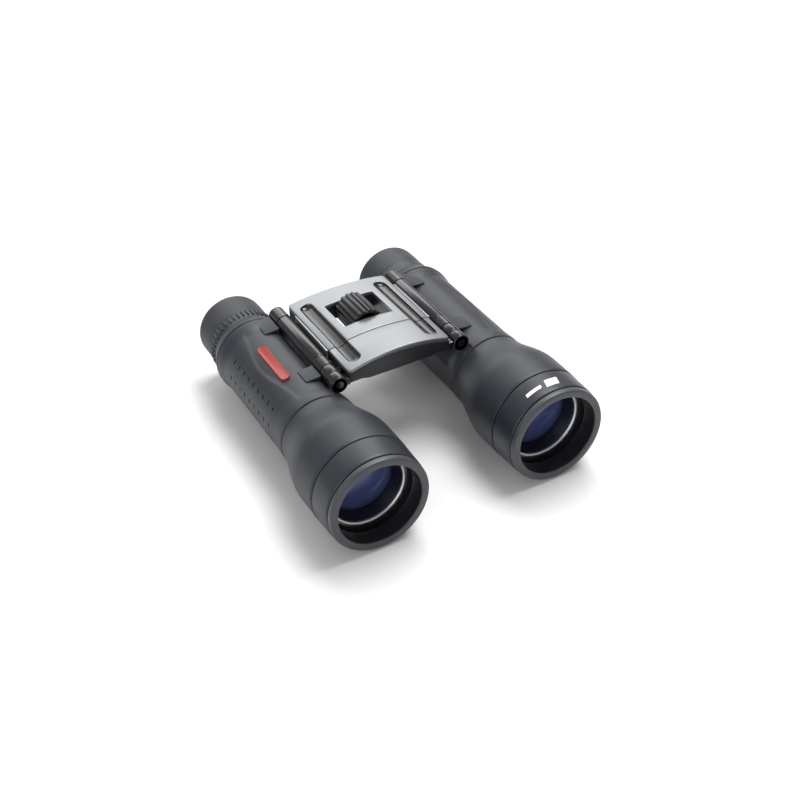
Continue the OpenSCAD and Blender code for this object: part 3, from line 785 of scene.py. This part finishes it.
def middle_armour():
    """Waisted middle armour with its panel, its two lugs and its grip slots."""
    sizes = bpy.context.scene.binocular_barrels
    rows = 76
    edge = 0.35
    on_skin = 1         # radius that marks the outer points, which change() then places
    first, last = MID_START + edge, MID_END - edge
    outer = [Vector((on_skin, first + (last - first) * i / rows)) for i in range(rows + 1)]
    outline = ([Vector((METAL_R, MID_START)), Vector((16.2, MID_START))] + outer
               + [Vector((16.6, MID_END)), Vector((METAL_R, MID_END))])

    def change(r, y, angle):
        if r != on_skin:
            return r
        from_top = math.degrees(math.atan2(math.cos(angle), math.sin(angle)))
        return armour_radius(y) - sizes.panel_depth * panel_share(y, from_top)

    body = turned(outline, 144, change)
    slot = prism([(-0.75, -1.05), (0.75, -1.05), (0.75, 1.05), (-0.75, 1.05)],
                 -0.36, 0.36, 0.3, 3)
    dashes = repeated(
        slot, None, Around=sizes.dash_rows, Along=sizes.dash_count,
        First_Angle=math.pi / 2 - sizes.dash_angle, Angle_Step=-sizes.dash_step,
        Radius=sizes.waist_r + 0.2, First_Distance=sizes.dash_start,
        Pitch=sizes.dash_pitch)
    trough = bar(KNUCKLE_R + 0.4, MID_START + 0.8, MID_END + 1, 64,
                 (-HINGE_DX, HINGE_DZ))
    body = cut_away(body, joined(dashes, trough))
    return joined(body, lug(*FRONT_LUG), lug(*REAR_LUG))


class BINO_OT_barrel_rubber(bpy.types.Operator):
    """Front sleeves, bells and middle armour of both barrels"""

    bl_idname = "binoculars.barrel_rubber"
    bl_label = "Barrel rubber"

    def execute(self, context):
        for word, side in SIDES.items():
            body = word + "_barrel"
            place = barrel_place(side)
            for name, make, finish_name, slot in (
                ("front_sleeve", front_sleeve, "sleeve rubber", "sleeve_rubber"),
                ("bell_armour", bell, "armour rubber", "armour_rubber"),
                ("mid_armour", middle_armour, "armour rubber", "armour_rubber"),
            ):
                made = object_from(make(), word + "_" + name + "_rubber",
                                   [Finishes.get(finish_name)], place)
                settle(made, body, slot, word + "_" + name)
        return {"FINISHED"}


# ---- badge and mark ------------------------------------------------------------------


def badge_bar():
    """Plain raised bar with a rounded rim."""
    start, end, half = BADGE_START, BADGE_END, 2.0
    outline = []
    for centre, first in ((end - half, 0), (start + half, 180)):
        for k in range(13):
            turn = math.radians(first + 15 * k)
            outline.append((half * math.cos(turn), centre + half * math.sin(turn)))
    bm = bmesh.new()
    low = [bm.verts.new((x, y, 15.2)) for x, y in outline]
    bm.faces.new(low)
    top = bmesh.ops.extrude_face_region(bm, geom=list(bm.faces))["geom"]
    raised = [v for v in top if isinstance(v, bmesh.types.BMVert)]
    bmesh.ops.translate(bm, vec=(0, 0, 1.4), verts=raised)
    bmesh.ops.recalc_face_normals(bm, faces=bm.faces)
    upper = max(bm.faces, key=lambda f: f.calc_center_median().z)
    bmesh.ops.bevel(bm, geom=list(upper.edges), offset=0.3, segments=3,
                    profile=0.5, affect="EDGES")
    upper = max(bm.faces, key=lambda f: f.calc_area() * (f.normal.z > 0.9))
    bmesh.ops.inset_region(bm, faces=[upper], thickness=0.55, depth=-0.18)
    return bm


def print_patch(start, end, first, last, lean):
    """Thin curved patch on the front sleeve, between two angles from the top."""
    bm = bmesh.new()
    rows = []
    for i in range(13):
        share = i / 12
        row = []
        for j in range(4):
            y = start + (end - start) * j / 3
            angle = math.radians(first + (last - first) * share + lean * j / 3)
            r = RIM_R + 0.3 + 0.35 * (y - SLEEVE_START) / (SLEEVE_END - SLEEVE_START)
            row.append((r, y, angle))
        rows.append(row)
    layers = []
    for lift in (0.05, -0.25):
        layers.append([[bm.verts.new(((r + lift) * math.sin(a), y, (r + lift) * math.cos(a)))
                        for r, y, a in row] for row in rows])
    for layer in layers:
        for i in range(12):
            for j in range(3):
                bm.faces.new((layer[i][j], layer[i][j + 1], layer[i + 1][j + 1],
                              layer[i + 1][j]))
    border = ([(i, 0) for i in range(12)] + [(12, j) for j in range(3)]
              + [(i, 3) for i in range(12, 0, -1)] + [(0, j) for j in range(3, 0, -1)])
    for k, (i, j) in enumerate(border):
        m, n = border[(k + 1) % len(border)]
        bm.faces.new((layers[0][i][j], layers[0][m][n], layers[1][m][n], layers[1][i][j]))
    return bm


class BINO_OT_badge_and_mark(bpy.types.Operator):
    """Red bar on the right barrel and white patch on the left front sleeve"""

    bl_idname = "binoculars.badge_and_mark"
    bl_label = "Badge and print"

    def execute(self, context):
        lean = Matrix.Rotation(math.radians(15), 4, "Y")
        bar = object_from(badge_bar(), "right_badge_bar", [Finishes.get("badge red")],
                          barrel_place(-1) @ lean)
        settle(bar, "right_barrel", "badge_red", "right_badge")
        patch = joined(print_patch(5.6, 9.4, -6.5, 9, 3), print_patch(6.6, 8.2, -30, -11, 1))
        mark = object_from(patch, "left_sleeve_print", [Finishes.get("white print")],
                           barrel_place(1))
        settle(mark, "left_barrel", "sleeve_rubber")
        return {"FINISHED"}


# ---- objectives ----------------------------------------------------------------------

LENS_R = 12.6             # clear radius that the baffle leaves in front of the glass
LENS_DEPTH = 4.4          # depth of the glass behind the bright ring


def rim():
    """Front rim: rounded flange with a groove, and its bore."""
    return turned(rounded([
        (17.1, 0.15, 0.3), (17.9, 0, 0.2), (18.9, 0.0, 0.5), (19.75, 0.12, 0.5),
        (RIM_R, 0.9, 0.5), (RIM_R, 2.4, 0.25), (18.3, 2.4), (18.3, 7.2), (16.8, 7.2, 0.1),
        (16.8, 0.5, 0.2),
    ]), 128)


def bright_ring():
    """Bright retaining ring with a rounded lip."""
    return turned(rounded([
        (14.3, RING_START + 0.5, 0.3), (14.9, RING_START, 0.3), (16, RING_START),
        (16, RING_END), (14.4, RING_END, 0.2),
    ]), 128)


def baffle():
    """Dark funnel between the bright ring and the glass."""
    deep = RING_END + LENS_DEPTH
    return turned(rounded([
        (14.5, RING_END), (LENS_R, deep - 0.4, 0.2), (LENS_R, deep + 0.5),
        (15.9, deep + 0.5), (15.9, RING_END),
    ]), 96)


def curved_glass(r, edge, back, front_rise, back_rise=0.0, steps=14):
    """Lens outline with its axis closed: front bulges forward, back may be hollow."""
    front = [Vector((r * i / steps, edge - front_rise * (1 - (i / steps) ** 2)))
             for i in range(steps + 1)]
    rear = [Vector((r * i / steps, back + back_rise * (1 - (i / steps) ** 2)))
            for i in range(steps, -1, -1)]
    return turned(front + rear, 96)


class BINO_OT_objectives(bpy.types.Operator):
    """Front rims, bright rings, baffles and coated objective glasses"""

    bl_idname = "binoculars.objectives"
    bl_label = "Objectives"

    def execute(self, context):
        for word, side in SIDES.items():
            place = barrel_place(side)
            axis = Vector((side * AXIS_X, 0, AXIS_Z))

            # faces inside the rim's bore get the near-black material, painted shade in the
            # bore
            def inside(face):
                centre = face.calc_center_median()
                off = Vector((centre.x - axis.x, 0, centre.z - axis.z)).length / MM
                return int(off < 17.0 and centre.y > FRONT + 0.3 * MM)

            made = object_from(rim(), word + "_rim_ring", [
                Finishes.get("rim plastic"), Finishes.get("bore black")], place,
                pick=inside)
            settle(made, word + "_barrel", "rim_plastic", word + "_objective_rim")
            made = object_from(bright_ring(), word + "_bright_ring",
                               [Finishes.get("bright ring")], place)
            settle(made, word + "_objective", "lens_ring", word + "_objective_ring")
            made = object_from(baffle(), word + "_lens_baffle",
                               [Finishes.get("navy baffle")], place)
            settle(made, word + "_objective", "cell_black")
            edge = RING_END + LENS_DEPTH
            made = object_from(
                curved_glass(LENS_R, edge, GLASS_END - 0.05, 0.9), word + "_coated_glass",
                [glass_finish(side)], place)
            settle(made, word + "_objective", "objective_glass",
                   word + "_objective_lens")
        return {"FINISHED"}


# ---- eyepieces -----------------------------------------------------------------------

RIDGE_START, RIDGE_END = 117.2, 120.9
RIDGES = 44


def grip(with_ridges):
    """Flared ring in front of the eyecup, with ridges on the diopter side."""
    outer = bpy.context.scene.binocular_barrels.waist_r + 0.8
    body = turned(rounded([
        (13.05, GRIP_START), (outer - 0.4, GRIP_START, 0.3),
        (outer - 0.05, GRIP_START + 0.5, 0.4),
        (outer - 0.5, GRIP_START + 2.2, 1.2), (15.0, GRIP_START + 5, 1.8),
        (14.75, RIDGE_START - 0.8, 0.5), (14.75, RIDGE_END + 0.2, 0.2),
        (14.3, RIDGE_END + 0.4, 0.1), (13.6, RIDGE_END + 0.4), (12.25, RIDGE_END + 0.4),
        (12.25, GRIP_START + 9.2), (13.05, GRIP_START + 9.2),
    ]), 128)
    if not with_ridges:
        return body
    ridge = prism([(-0.6, -0.42), (0.15, -0.42), (0.42, -0.2), (0.42, 0.2),
                   (0.15, 0.42), (-0.6, 0.42)], RIDGE_START, RIDGE_END, 0.12, 2)
    ring = repeated(ridge, None, Around=RIDGES, Along=1, First_Angle=0.0,
                    Angle_Step=2 * math.pi / RIDGES, Radius=14.85, First_Distance=0.0)
    return joined(body, ring)


def eyecup():
    """Rubber eyecup with a rolled lip and a faint waist."""
    start = RIDGE_END + 0.7
    return turned(rounded([
        (13.0, start), (14.2, start, 0.2), (CUP_R - 0.15, start + 0.7, 0.6),
        (CUP_R, start + 3.5, 1.0), (CUP_R, CUP_END - 2.2, 1.0),
        (CUP_R - 0.15, CUP_END - 0.9, 0.7), (CUP_R - 0.8, CUP_END, 0.6),
        (CUP_R - 1.6, CUP_END - 0.1, 0.6), (12.5, CUP_END - 1.2, 0.6),
        (12.3, start),
    ], 5), 128)


class BINO_OT_eyepieces(bpy.types.Operator):
    """Diopter ring, collar, eyecups, ocular rings and eye lenses"""

    bl_idname = "binoculars.eyepieces"
    bl_label = "Eyepieces"

    def execute(self, context):
        eye_start, eye_end = reach("left_ocular_ring")
        lens_end = reach("left_eye_lens")[1]
        for word, side in SIDES.items():
            place = barrel_place(side)
            turning = "right_diopter" if side < 0 else "left_barrel"
            sliding = "right_ocular" if side < 0 else "left_barrel"
            ring_node = "right_diopter_ring" if side < 0 else "left_eyepiece_collar"
            made = object_from(grip(side < 0), ring_node + "_grip",
                               [Finishes.get("armour rubber")], place)
            settle(made, turning, "grip_rubber", ring_node)
            made = object_from(eyecup(), word + "_eyecup_rubber",
                               [Finishes.get("eyecup rubber")], place)
            settle(made, turning, "eyecup_rubber", word + "_eyecup")
            made = object_from(turned(rounded([
                (8.9, eye_end - 0.9, 0.3), (10.3, eye_end, 0.3), (10.3, lens_end - 2.4),
                (9.3, lens_end - 2.2),
            ]), 96), word + "_eye_ring", [Finishes.get("matt black")], place)
            settle(made, sliding, "cell_black", word + "_ocular_ring")
            made = object_from(
                curved_glass(10.3, eye_start, lens_end - 2.3, 0.0, 2.3),
                word + "_eye_glass", [Finishes.get("eye glass")], place)
            settle(made, sliding, "eye_glass", word + "_eye_lens")
        return {"FINISHED"}


# ---- bridge --------------------------------------------------------------------------


def arch_top(x, y):
    """Height of the plates' top surface above the hinge axes."""
    sizes = bpy.context.scene.binocular_bridge
    along = (y - BRIDGE_FRONT) / (BRIDGE_END - BRIDGE_FRONT)
    rise = sizes.front_rise + (sizes.rear_rise - sizes.front_rise) * along
    return CREST_H - sizes.front_rise + rise * (1 - (x / BRIDGE_X) ** 2)


def arc(centre, r, first, last, count=10):
    """Points on an arc between two angles in degrees."""
    points = []
    for k in range(count + 1):
        turn = math.radians(first + (last - first) * k / count)
        points.append((centre[0] + r * math.cos(turn), centre[1] + r * math.sin(turn)))
    return points


def flute_span():
    """Where the flutes start and end, in millimetres."""
    return BRIDGE_FRONT + 3.5, BRIDGE_END - 4.5


def front_outline():
    """Outline of the front plate, with a notch for each flute."""
    sizes = bpy.context.scene.binocular_bridge
    seam = PLATE_SEAM - SEAM_HALF
    half = sizes.flute_w / 2
    first = flute_span()[0] + half
    x, front = BRIDGE_X - CORNER_R, BRIDGE_FRONT + CORNER_R
    outline = arc((-x, front), CORNER_R, 180, 270, 5)
    outline += arc((x, front), CORNER_R, 270, 360, 5)
    outline.append((BRIDGE_X, seam))
    for x in (sizes.flute_x, -sizes.flute_x):
        outline.append((x + half, seam))
        outline += arc((x, first), half, 360, 180, 12)
        outline.append((x - half, seam))
    outline.append((-BRIDGE_X, seam))
    return outline


def rear_outline():
    """Outline of the rear plate, with a notch for each flute."""
    sizes = bpy.context.scene.binocular_bridge
    seam = PLATE_SEAM + SEAM_HALF
    half = sizes.flute_w / 2
    last = flute_span()[1] - half
    x, back = BRIDGE_X - CORNER_R, BRIDGE_END - CORNER_R
    outline = arc((x, back), CORNER_R, 0, 90, 5)
    outline += arc((-x, back), CORNER_R, 90, 180, 5)
    outline.append((-BRIDGE_X, seam))
    for x in (-sizes.flute_x, sizes.flute_x):
        outline.append((x - half, seam))
        outline += arc((x, last), half, 180, 0, 12)
        outline.append((x + half, seam))
    outline.append((BRIDGE_X, seam))
    return outline


def window_outline():
    """Window round the wheel, with rounded corners."""
    corner = 0.6
    x, front, back = WINDOW_X - corner, WINDOW[0] + corner, WINDOW[1] - corner
    outline = []
    for k, centre in enumerate(((-x, front), (x, front), (x, back), (-x, back))):
        outline += arc(centre, corner, 180 + 90 * k, 270 + 90 * k, 3)
    return outline


def plate(outlines):
    """Bent cover plate with rounded edges; the first outline is its border."""
    sizes = bpy.context.scene.binocular_bridge
    curve = bpy.data.curves.new("plate", "CURVE")
    curve.dimensions = "2D"
    curve.fill_mode = "BOTH"
    curve.extrude = sizes.plate_t / 2 - sizes.plate_edge
    curve.bevel_depth = sizes.plate_edge
    curve.bevel_resolution = 2
    curve.offset = -sizes.plate_edge
    for outline in outlines:
        spline = curve.splines.new("POLY")
        spline.points.add(len(outline) - 1)
        for point, (x, y) in zip(spline.points, outline):
            point.co = (x, y, 0, 1)
        spline.use_cyclic_u = True
    holder = bpy.data.objects.new("plate", curve)
    bpy.context.scene.collection.objects.link(holder)
    mesh = bpy.data.meshes.new_from_object(
        holder.evaluated_get(bpy.context.evaluated_depsgraph_get()))
    bpy.data.objects.remove(holder)
    bm = bmesh.new()
    bm.from_mesh(mesh)
    bpy.data.meshes.remove(mesh)
    bmesh.ops.remove_doubles(bm, verts=bm.verts, dist=1e-4)
    aside = 0.001       # keeps each cut off the outline's own points
    for i in range(-21, 22):
        everything = list(bm.verts) + list(bm.edges) + list(bm.faces)
        bmesh.ops.bisect_plane(bm, geom=everything, plane_co=(i + aside, 0, 0),
                               plane_no=(1, 0, 0))
    for vert in bm.verts:
        vert.co.z += arch_top(vert.co.x, vert.co.y) - sizes.plate_t / 2
    return bm


def flutes(start, end, round_start, round_end):
    """Hollow gloss inlays that fill the plates' slots; round ends are boat-shaped."""
    sizes = bpy.context.scene.binocular_bridge
    half = sizes.flute_w / 2 - 0.06
    first, last = flute_span()
    meshes = []
    for middle_x in (-sizes.flute_x, sizes.flute_x):
        bm = bmesh.new()
        rows = []
        count, across_count = 60, 16
        for i in range(count + 1):
            y = start + (end - start) * i / count
            over = max(0.0, first + half - y if round_start else 0.0,
                       y - (last - half) if round_end else 0.0)
            width = math.sqrt(max(0.0, half * half - min(over, half) ** 2))
            width = max(width, 0.02)
            row = []
            for j in range(across_count + 1):
                across = -1 + 2 * j / across_count
                x = middle_x + across * width
                off = math.hypot(across * width, over) / half
                dip = sizes.flute_depth * (1 - off * off) ** 0.5 if off < 1 else 0.0
                row.append((x, y, arch_top(x, y) - 0.12 - dip))
            rows.append(row)
        top = [[bm.verts.new(p) for p in row] for row in rows]
        base = [[bm.verts.new((p[0], p[1], arch_top(p[0], p[1]) - 2.6)) for p in row]
                for row in rows]
        for layer in (top, base):
            for i in range(count):
                for j in range(across_count):
                    bm.faces.new((layer[i][j], layer[i + 1][j], layer[i + 1][j + 1],
                                  layer[i][j + 1]))
        for i in range(count):
            for j in (0, across_count):
                bm.faces.new((top[i][j], top[i + 1][j], base[i + 1][j], base[i][j]))
        for i in (0, count):
            for j in range(across_count):
                bm.faces.new((top[i][j], top[i][j + 1], base[i][j + 1], base[i][j]))
        meshes.append(bm)
    return joined(*meshes)


def bridge_block(start, end, heads):
    """Dark body under a cover, with counterbores for the screw heads."""
    sizes = bpy.context.scene.binocular_bridge

    def section(y):
        stations = [BRIDGE_X * (-1 + i / 10) for i in range(21)]
        inset = 0.12
        top = [(x * (1 - inset / BRIDGE_X), arch_top(x, y) - sizes.plate_t + 0.05)
               for x in stations]
        under = [(BRIDGE_X - inset, -1.5), (17, -1.3), (13.5, -UNDER_H)]
        return top + under + [(-x, z) for x, z in reversed(under)]

    block = prism(section, start, end, 0.35, 3)
    cutters = []
    for x, y in heads:
        cutter = bar(HEAD_R + 0.05, -3, 1.2, 32)
        upright = Matrix.Rotation(math.radians(90), 4, "X")
        bmesh.ops.transform(cutter, verts=cutter.verts,
                            matrix=Matrix.Translation((x, y, -UNDER_H)) @ upright)
        cutters.append(cutter)
    return cut_away(block, joined(*cutters))


def screw_heads(node, ys):
    """Centres of the screws under a cover."""
    x = half_width(node) - HEAD_R
    return [(side * x, y) for side in (-1, 1) for y in ys]


class BINO_OT_covers(bpy.types.Operator):
    """Two arched cover plates of the bridge"""

    bl_idname = "binoculars.covers"
    bl_label = "Cover plates"

    def execute(self, context):
        for name, outlines, body in (
            ("front_cover", [front_outline()], "front_bridge"),
            ("rear_cover", [rear_outline(), window_outline()], "rear_bridge"),
        ):
            made = object_from(plate(outlines), name + "_plate",
                               [Finishes.get("cover metal")], bridge_place())
            settle(made, body, "cover_metal", name)
        return {"FINISHED"}


def hinge_tube(side, start, end, edge):
    """Gloss tube round a hinge rod with rounded ends."""
    bore = 1.6
    return turned(rounded([
        (bore, start), (KNUCKLE_R, start, edge), (KNUCKLE_R, end, edge), (bore, end),
    ]), 64, centre=(side * HINGE_X, 0))


def side_box(side, inner, outer, low, high):
    """Rectangle in x and z on one side of the bridge."""
    return [(side * x, z) for x, z in ((inner, low), (outer, low), (outer, high),
                                       (inner, high))]


class BINO_OT_castings(bpy.types.Operator):
    """Bridge bodies, flutes, hinge tubes and hinge rings"""

    bl_idname = "binoculars.castings"
    bl_label = "Castings and hinges"

    def execute(self, context):
        place = bridge_place()
        black, gloss = Finishes.get("bridge black"), Finishes.get("gloss black")
        front_heads = reach("front_cover_screws")
        rear_heads = reach("rear_cover_screws")
        first, last = flute_span()
        block = bridge_block(BRIDGE_FRONT - 0.3, PLATE_SEAM - 0.15, screw_heads(
            "front_cover_screws", [sum(front_heads) / 2]))
        made = object_from(block, "front_bridge_body", [black], place)
        settle(made, "front_bridge", "casting_black", "front_frame")
        block = bridge_block(PLATE_SEAM + 0.15, BRIDGE_END - 0.4, screw_heads(
            "rear_cover_screws", [rear_heads[0] + HEAD_R, rear_heads[1] - HEAD_R]))
        through = 9         # past the block's top and underside
        window = prism([(-WINDOW_X, -through), (WINDOW_X, -through),
                        (WINDOW_X, through), (-WINDOW_X, through)], *WINDOW)
        made = object_from(cut_away(block, window), "rear_bridge_body", [black], place)
        settle(made, "rear_bridge", "casting_black", "rear_frame")
        made = object_from(flutes(first, PLATE_SEAM - 0.2, True, False), "front_flutes",
                           [gloss], place)
        settle(made, "front_bridge", "casting_black")
        made = object_from(flutes(PLATE_SEAM + 0.2, last, False, True), "rear_flutes",
                           [gloss], place)
        settle(made, "rear_bridge", "casting_black")
        self.hinges(place, gloss)
        return {"FINISHED"}

    def hinges(self, place, gloss):
        """Tubes, rings, arms and webs on the two hinge axes, and the cover's rails."""
        front = reach("front_frame")[0]
        rings = ((front, front + 5.0), (front + 5.1, front + 10.55))
        arms = ((BRIDGE_FRONT - 0.3, BRIDGE_FRONT + 2.7), (front + 6.9, front + 10.3))
        inner = BRIDGE_X - 0.4
        rail_top = arch_top(BRIDGE_X, BRIDGE_FRONT) - 0.15
        rear_parts, front_parts, rails = [], [], []
        for side in (-1, 1):
            web = side_box(side, inner, HINGE_X, -2.0, 0.0)
            arm = side_box(side, inner, HINGE_X, -2.0, 1.2)
            rail = side_box(side, BRIDGE_X + 0.15, BRIDGE_X + 1, -0.4, rail_top)
            rear_parts.append(hinge_tube(side, TUBE_START, TUBE_END - 0.15, 0.5))
            rear_parts.append(prism(web, PLATE_SEAM + 0.3, BRIDGE_END - 7.4, 0.3))
            rails.append(prism(rail, PLATE_SEAM + 0.3, BRIDGE_END - 8.4, 0.2))
            for start, end in rings:
                front_parts.append(hinge_tube(side, start, end, 0.45))
            for start, end in arms:
                front_parts.append(prism(arm, start, end, 0.3))
        made = object_from(joined(*rails), "rear_cover_rails",
                           [Finishes.get("cover metal")], place)
        settle(made, "rear_bridge", "cover_metal")
        made = object_from(joined(*rear_parts), "rear_hinge_tubes", [gloss], place)
        settle(made, "rear_bridge", "casting_black")
        made = object_from(joined(*front_parts), "front_hinge_rings", [gloss], place)
        settle(made, "front_bridge", "casting_black")


# ---- focus wheel ---------------------------------------------------------------------


class BINO_OT_focus_wheel(bpy.types.Operator):
    """Ribbed focus wheel with a hollow front end"""

    bl_idname = "binoculars.focus_wheel"
    bl_label = "Focus wheel"

    def execute(self, context):
        sizes = context.scene.binocular_wheel
        core = WHEEL_R - sizes.rib_h
        inner = WHEEL_R - sizes.rim_t
        body = turned(rounded([
            (1.5, WHEEL_START), (3.0, WHEEL_START, 0.2), (3.0, WHEEL_START + 4, 0.3),
            (inner, WHEEL_START + 4, 0.4), (inner, WHEEL_START + 0.3, 0.4),
            (core - 0.1, WHEEL_START, 0.4), (core, WHEEL_START + 0.6, 0.3),
            (core, WHEEL_END, 0.4), (1.5, WHEEL_END),
        ]), 96)
        pitch = 2 * math.pi * WHEEL_R / sizes.ribs
        half = pitch * 0.36
        section = [(-0.8, -half)] + [
            (sizes.rib_h * math.sin(math.radians(turn)) ** 0.7,
             -half * math.cos(math.radians(turn)))
            for turn in range(20, 161, 20)
        ] + [(-0.8, half)]
        rib = prism(section, WHEEL_START + 0.05, WHEEL_END - 0.3, 0.35, 3)
        ribs = repeated(rib, None, Around=sizes.ribs, Along=1, First_Angle=0.0,
                        Angle_Step=2 * math.pi / sizes.ribs, Radius=core,
                        First_Distance=0.0)
        place = (Matrix.Translation((0, FRONT, WHEEL_Z))
                 @ Matrix.Diagonal((MM, MM, MM, 1)))
        made = object_from(joined(body, ribs), "ribbed_focus_wheel",
                           [Finishes.get("wheel plastic")], place)
        settle(made, "focus_wheel", "wheel_plastic", "focus_wheel")
        return {"FINISHED"}


# ---- the rest of the metal and glass -------------------------------------------------

KEPT = {
    "prism_holder": "matt black", "roof_prism": "prism glass",
    "half_penta_prism": "prism glass", "objective_cell": "matt black",
    "focus_fork": "brass", "ocular_cell": "matt black", "field_stop": "matt black",
    "field_lens": "eye glass",
}
KEPT_SINGLE = {
    "focus_screw": "steel", "focus_nut": "brass", "thrust_washers": "matt black",
    "front_cover_screws": "steel", "rear_cover_screws": "steel",
    "right_hinge_rod": "steel", "left_hinge_rod": "steel",
}
SOFTENED = ("right_barrel_body", "left_barrel_body", "right_hinge_cap",
            "left_hinge_cap", "front_hinge_caps")


class BINO_OT_inner_parts(bpy.types.Operator):
    """Finishes of the kept parts, and softened copies of the metal that shows"""

    bl_idname = "binoculars.inner_parts"
    bl_label = "Inner parts"

    def execute(self, context):
        kept = dict(KEPT_SINGLE)
        for word in SIDES:
            kept.update({word + "_" + name: f for name, f in KEPT.items()})
        for node, finish_name in kept.items():
            materials = frame["nodes"][node].data.materials
            materials.clear()
            materials.append(Finishes.get(finish_name))
        for node in SOFTENED:
            bm = from_mesh(frame["nodes"][node].data)
            sharp = [e for e in bm.edges if e.calc_face_angle(0) > math.radians(50)]
            bmesh.ops.bevel(bm, geom=sharp, offset=0.2 * MM, segments=2, profile=0.5,
                            affect="EDGES", clamp_overlap=True)
            made = object_from(bm, node + "_metal", [Finishes.get("gloss black")],
                               tidy=False)
            body = frame["nodes"][node]["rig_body"]
            slot = "barrel_metal" if "body" in node else "casting_black"
            settle(made, body, slot, node)
        return {"FINISHED"}


# ---- studio --------------------------------------------------------------------------

AZIMUTH, ELEVATION, ROLL = -27.84, 37.03, -2.14      # degrees
DISTANCE = 0.5216
AIM = Vector((0.00218, -0.00888, 0.01408))


def soft_box(name, direction, distance, width, height, power, colour=(1, 1, 1)):
    """Rectangular light that faces the middle of the object."""
    light = bpy.data.lights.new(name, "AREA")
    light.shape = "RECTANGLE"
    light.size, light.size_y = width, height
    light.energy, light.color = power, colour
    made = bpy.data.objects.new(name, light)
    heading = Vector(direction).normalized()
    made.location = Vector((0, 0, 0.02)) + heading * distance
    made.rotation_mode = "QUATERNION"
    made.rotation_quaternion = (-heading).to_track_quat("-Z", "Y")
    bpy.context.scene.collection.objects.link(made)


class BINO_OT_studio(bpy.types.Operator):
    """Pale floor, soft light and camera"""

    bl_idname = "binoculars.studio"
    bl_label = "Studio"

    def execute(self, context):
        bm = bmesh.new()
        bmesh.ops.create_grid(bm, x_segments=8, y_segments=8, size=6)
        for vert in bm.verts:
            vert.co.z = CAD_BOX[0].z - 0.0002
        floor = object_from(bm, "floor", [finish(
            "pale floor", (0.86, 0.86, 0.86), (0.88, 0.88, 0.88), rough=(0.7, 0.8),
            bump=0.02, dust=0)], tidy=False)
        world = bpy.data.worlds.new("studio")
        world.use_nodes = True
        world.node_tree.nodes["Background"].inputs["Color"].default_value = (1, 1, 1, 1)
        world.node_tree.nodes["Background"].inputs["Strength"].default_value = 0.4
        context.scene.world = world
        context.scene.view_settings.view_transform = "Standard"
        soft_box("key", (0.35, 0.15, 1.0), 1.0, 0.8, 0.5, 11)
        soft_box("fill", (-0.9, -0.5, 0.45), 1.2, 0.5, 0.8, 4)
        soft_box("back", (0.2, 1.0, 0.6), 1.2, 1.2, 0.4, 5)
        self.camera(context)
        return {"FINISHED"}

    def camera(self, context):
        """Camera in front of the right barrel, looking down on the bridge."""
        a, e, r = (math.radians(v) for v in (AZIMUTH, ELEVATION, ROLL))
        back = Vector((math.sin(a) * math.cos(e), -math.cos(a) * math.cos(e), math.sin(e)))
        level = Vector((math.cos(a), math.sin(a), 0))
        up = back.cross(level)
        right = level * math.cos(r) + up * math.sin(r)
        over = up * math.cos(r) - level * math.sin(r)
        data = bpy.data.cameras.new("camera")
        data.sensor_width = 36
        data.lens = 58.5
        data.clip_start, data.clip_end = 0.01, 20
        made = bpy.data.objects.new("camera", data)
        made.matrix_world = Matrix.Translation(AIM + back * DISTANCE) @ Matrix(
            (right, over, back)).transposed().to_4x4()
        context.scene.collection.objects.link(made)
        context.scene.camera = made


# ---- add-on --------------------------------------------------------------------------

STEPS = ("barrel_rubber", "badge_and_mark", "objectives", "eyepieces", "covers",
         "castings", "focus_wheel", "inner_parts", "studio")


class BINO_PT_panel(bpy.types.Panel):
    """Lists the building steps and the main settings"""

    bl_idname = "BINO_PT_panel"
    bl_label = "Binoculars"
    bl_space_type = "VIEW_3D"
    bl_region_type = "UI"
    bl_category = "Binoculars"

    def draw(self, context):
        for step in STEPS:
            self.layout.operator("binoculars." + step)
        for settings in (context.scene.binocular_barrels, context.scene.binocular_bridge,
                         context.scene.binocular_wheel, context.scene.binocular_finishes):
            box = self.layout.box()
            for name in settings.__annotations__:
                box.prop(settings, name)


SETTINGS = {
    "binocular_barrels": BarrelSettings, "binocular_bridge": BridgeSettings,
    "binocular_wheel": WheelSettings, "binocular_finishes": FinishSettings,
}
OPERATORS = (
    BINO_OT_barrel_rubber, BINO_OT_badge_and_mark, BINO_OT_objectives,
    BINO_OT_eyepieces, BINO_OT_covers, BINO_OT_castings, BINO_OT_focus_wheel,
    BINO_OT_inner_parts, BINO_OT_studio,
)


def register():
    """Registers the settings, the operators and the panel."""
    for name, group in SETTINGS.items():
        bpy.utils.register_class(group)
        setattr(bpy.types.Scene, name, PointerProperty(type=group))
    for cls in OPERATORS + (BINO_PT_panel,):
        bpy.utils.register_class(cls)


def unregister():
    """Takes back what register did."""
    for cls in reversed(OPERATORS + (BINO_PT_panel,)):
        bpy.utils.unregister_class(cls)
    for name, group in reversed(SETTINGS.items()):
        delattr(bpy.types.Scene, name)
        bpy.utils.unregister_class(group)


def main():
    register()
    for step in STEPS:
        getattr(bpy.ops.binoculars, step)()


if __name__ == "__main__":
    main()
